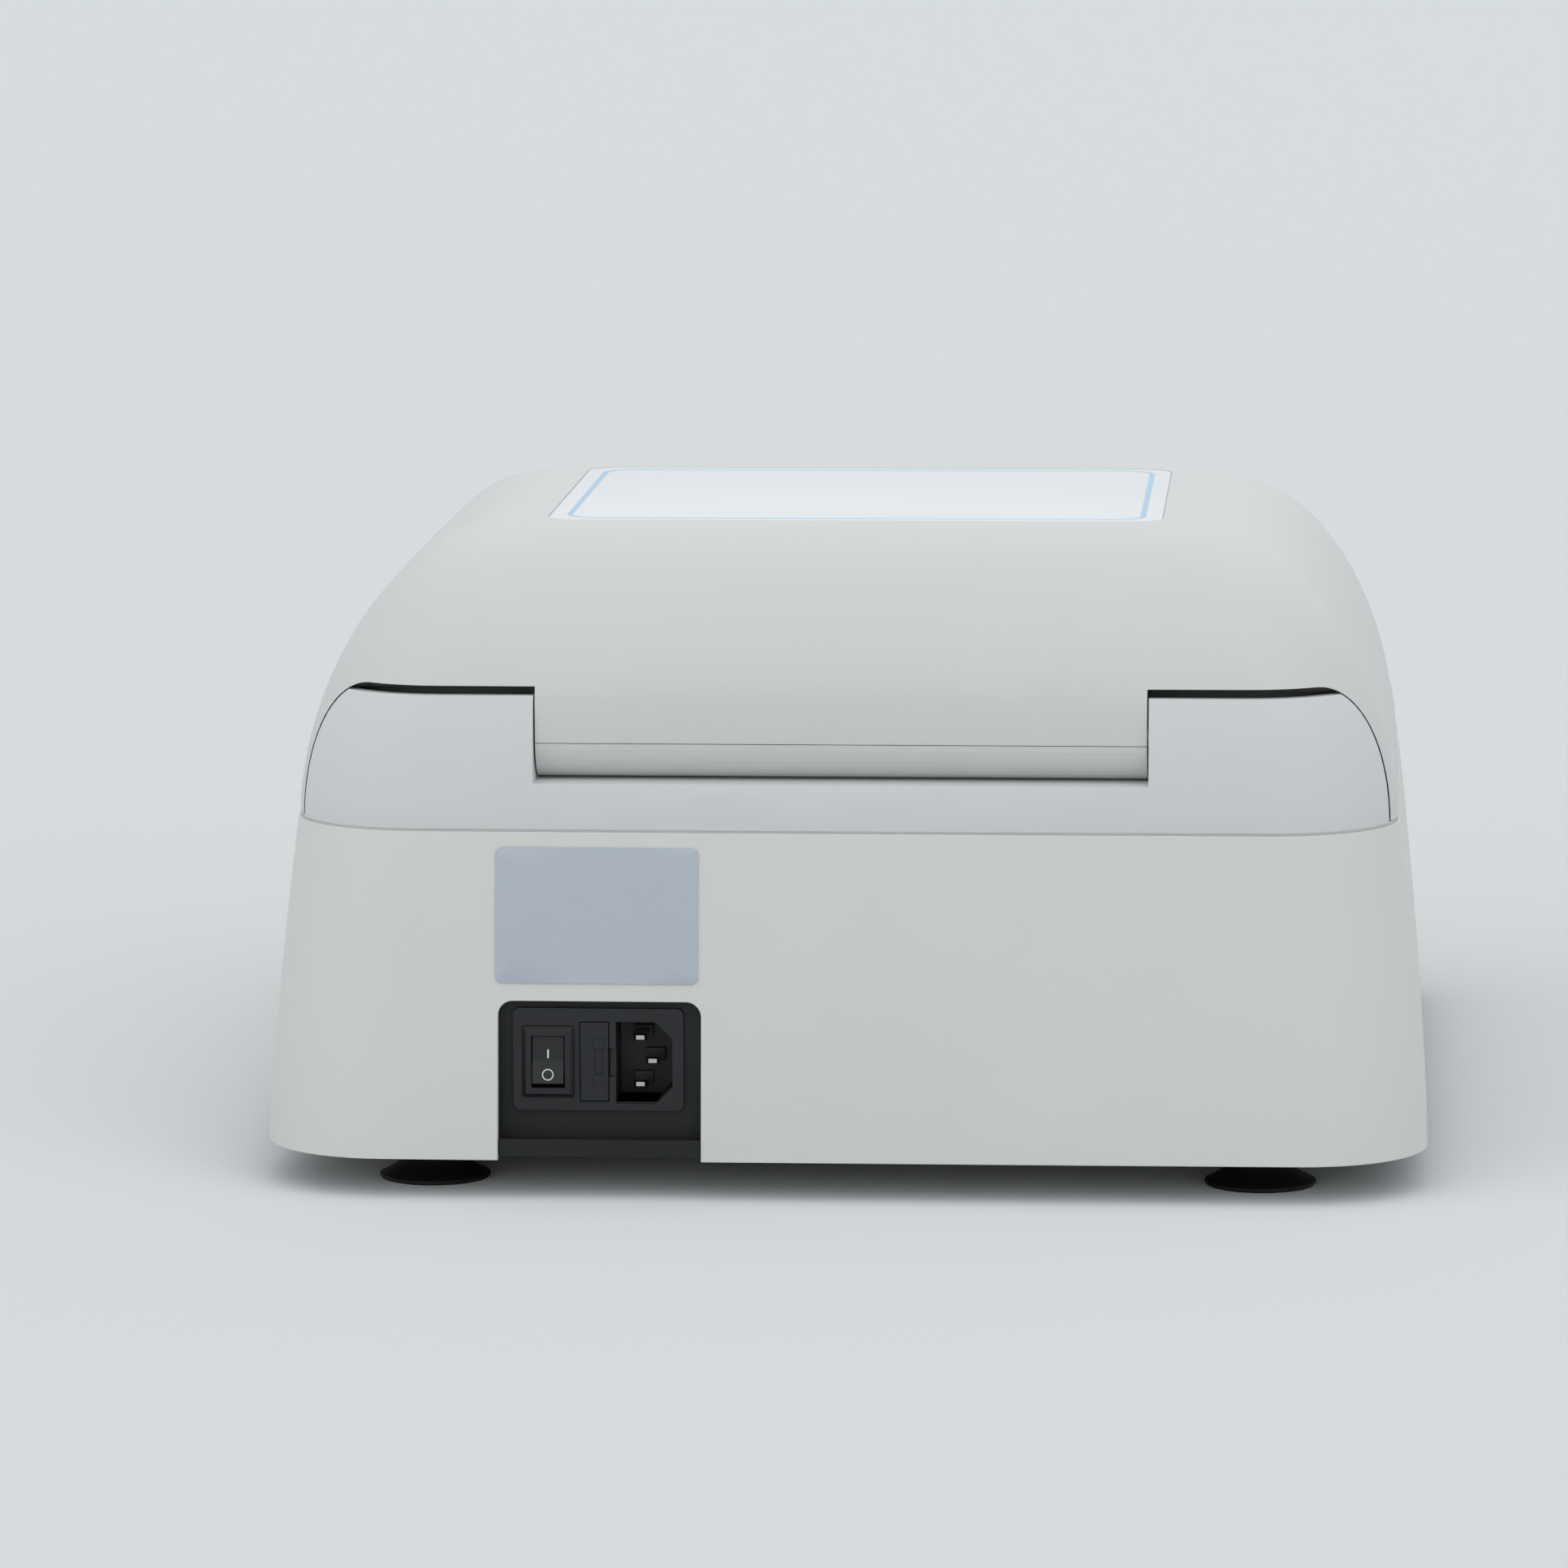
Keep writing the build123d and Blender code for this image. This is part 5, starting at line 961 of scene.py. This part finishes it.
@dataclass
class PowerSupply:
    """Power supply board with its capacitors, transformer and cooling fins."""

    def build(self) -> None:
        """Makes the supply's pieces."""
        low, high = low_of("power_supply"), high_of("power_supply")
        middle_x = (low.x + high.x) / 2
        form = Form()
        form.block((low.x, low.y, low.z + 4.4), (high.x, high.y, low.z + 6), 0.2, 2)
        for x in (low.x + 4, high.x - 4):
            for y in (low.y + 5, high.y - 5):
                form.at(Matrix.Translation((x, y, low.z))).spun([(0, 0), (2.5, 0), (2.5, 4.4), (0, 4.4)], 16)
                form.at(Matrix.Identity(4))
        form.piece("supply_board", BOARD, "root", "power_supply")
        caps = Form()
        for x, y, radius, height in ((middle_x - 6, low.y + 20, 6.0, 20.0), (middle_x + 6, low.y + 20, 6.0, 20.0),
                                     (middle_x, low.y + 34, 4.0, 13.0), (middle_x - 8, high.y - 12, 3.2, 10.0)):
            caps.at(Matrix.Translation((x, y, low.z + 6)))
            caps.spun([(0, 0), (radius - 0.4, 0), (radius, 0.5), (radius, height - 1), (radius - 0.5, height - 0.3),
                       (radius - 0.9, height - 0.5), (0, height - 0.5)], 32)
        caps.piece("supply_capacitors", SLEEVE, "root")
        core = Form()
        centre_y = (low.y + high.y) / 2 + 4
        core.block((middle_x - 11, centre_y - 12, low.z + 6), (middle_x + 11, centre_y - 6, high.z - 8), 0.6)
        core.block((middle_x - 11, centre_y + 6, low.z + 6), (middle_x + 11, centre_y + 12, high.z - 8), 0.6)
        core.piece("supply_core", IRON, "root")
        winding = Form()
        winding.block((middle_x - 8, centre_y - 6.5, low.z + 8), (middle_x + 8, centre_y + 6.5, high.z - 10), 2.0, 4)
        winding.piece("supply_winding", COPPER, "root")
        fins = Form()
        for index in range(7):
            y = high.y - 36 + index * 3
            fins.block((low.x + 3, y, low.z + 6), (low.x + 14, y + 1.1, low.z + 26), 0.2, 2)
        fins.block((low.x + 3, high.y - 36, low.z + 6), (low.x + 5, high.y - 16.9, low.z + 26), 0.2, 2)
        fins.piece("supply_cooling_fins", ANODISED, "root")


@dataclass
class Studio:
    """Floor, lamps, world and camera."""

    camera_mm: Point = (-143.5, 2559.9, 463.0)
    camera_deg: Point = (81.877, 0.197, -176.168)
    lens_mm: float = 187.06
    sensor_mm: float = 36.0
    floor_half_m: float = 16.0
    lamp_width_deg: float = 60.0
    lamps: list[tuple[str, Point, float]] = field(default_factory=lambda: [
        ("overhead_panel", (0.0, 0.2, 1.0), 0.2),
        ("key_panel", (-0.7, 1.5, 1.6), 0.36),
        ("side_panel", (1.4, 1.2, 1.1), 0.26),
        ("front_panel", (-0.3, -1.5, 1.2), 0.34),
    ])

    def build(self) -> None:
        """Sets up the whole studio."""
        self._floor()
        for name, place, strength in self.lamps:
            self._lamp(name, place, strength)
        self._world()
        self._camera()

    def _floor(self) -> None:
        """Lays the plain pale floor."""
        form = bmesh.new()
        bmesh.ops.create_grid(form, x_segments=2, y_segments=2, size=self.floor_half_m)
        mesh = bpy.data.meshes.new("floor")
        form.to_mesh(mesh)
        form.free()
        mesh.materials.append(self._floor_paint())
        floor = bpy.data.objects.new("floor", mesh)
        bpy.context.scene.collection.objects.link(floor)

    def _floor_paint(self) -> bpy.types.Material:
        """Makes the floor's paper, dull and even.

        Returns:
            The material.
        """
        paper = bpy.data.materials.new("backdrop_paper")
        paper.use_nodes = True
        tree = paper.node_tree
        tree.nodes.clear()
        dull = add(tree, "ShaderNodeBsdfDiffuse", {"Color": linear(FLOOR_COLOUR), "Roughness": 0.9})
        add(tree, "ShaderNodeOutputMaterial", links={"Surface": dull.outputs[0]})
        return paper

    def _lamp(self, name: str, place: Point, strength: float) -> None:
        """Hangs one far, wide panel that lights the object and the floor alike.

        Args:
            name: the lamp's name.
            place: the direction it shines from.
            strength: its irradiance in watts per square metre.
        """
        data = bpy.data.lights.new(name, "SUN")
        data.angle = math.radians(self.lamp_width_deg)
        data.energy = strength
        lamp = bpy.data.objects.new(name, data)
        lamp.location = place
        lamp.rotation_euler = (-Vector(place)).to_track_quat("-Z", "Y").to_euler()
        bpy.context.scene.collection.objects.link(lamp)

    def _world(self) -> None:
        """Lights everything evenly with a pale sky that the camera sees too."""
        world = bpy.data.worlds.new("studio")
        bpy.context.scene.world = world
        world.use_nodes = True
        tree = world.node_tree
        tree.nodes.clear()
        sky = add(tree, "ShaderNodeBackground", {"Color": linear(SKY_COLOUR), "Strength": 1.0})
        add(tree, "ShaderNodeOutputWorld", links={"Surface": sky.outputs["Background"]})

    def _camera(self) -> None:
        """Sets the camera at the photograph's angle."""
        data = bpy.data.cameras.new("camera")
        data.lens = self.lens_mm
        data.sensor_width = self.sensor_mm
        data.sensor_fit = "HORIZONTAL"
        data.clip_end = 60.0
        camera = bpy.data.objects.new("camera", data)
        camera.location = Vector(self.camera_mm) * MM
        camera.rotation_euler = [math.radians(a) for a in self.camera_deg]
        bpy.context.scene.collection.objects.link(camera)
        bpy.context.scene.camera = camera
        bpy.context.scene.view_settings.view_transform = "Standard"


def dress_nodes() -> None:
    """Gives every CAD node its finish."""
    for node, finish in NODE_FINISHES.items():
        mesh = frame["nodes"][node].data
        mesh.materials.clear()
        mesh.materials.append(finish.material())
        log.info("%s dressed in %s", node, finish.name)


def main() -> None:
    """Builds the scene."""
    logging.basicConfig(level=logging.INFO, format="%(name)s %(message)s")
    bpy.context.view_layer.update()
    dress_nodes()
    for assembly in (Housing(), Lid(), Inlet(), ControlPanel(), Chamber(), Drive(), PowerSupply(), Studio()):
        assembly.build()


if __name__ == "__main__":
    main()
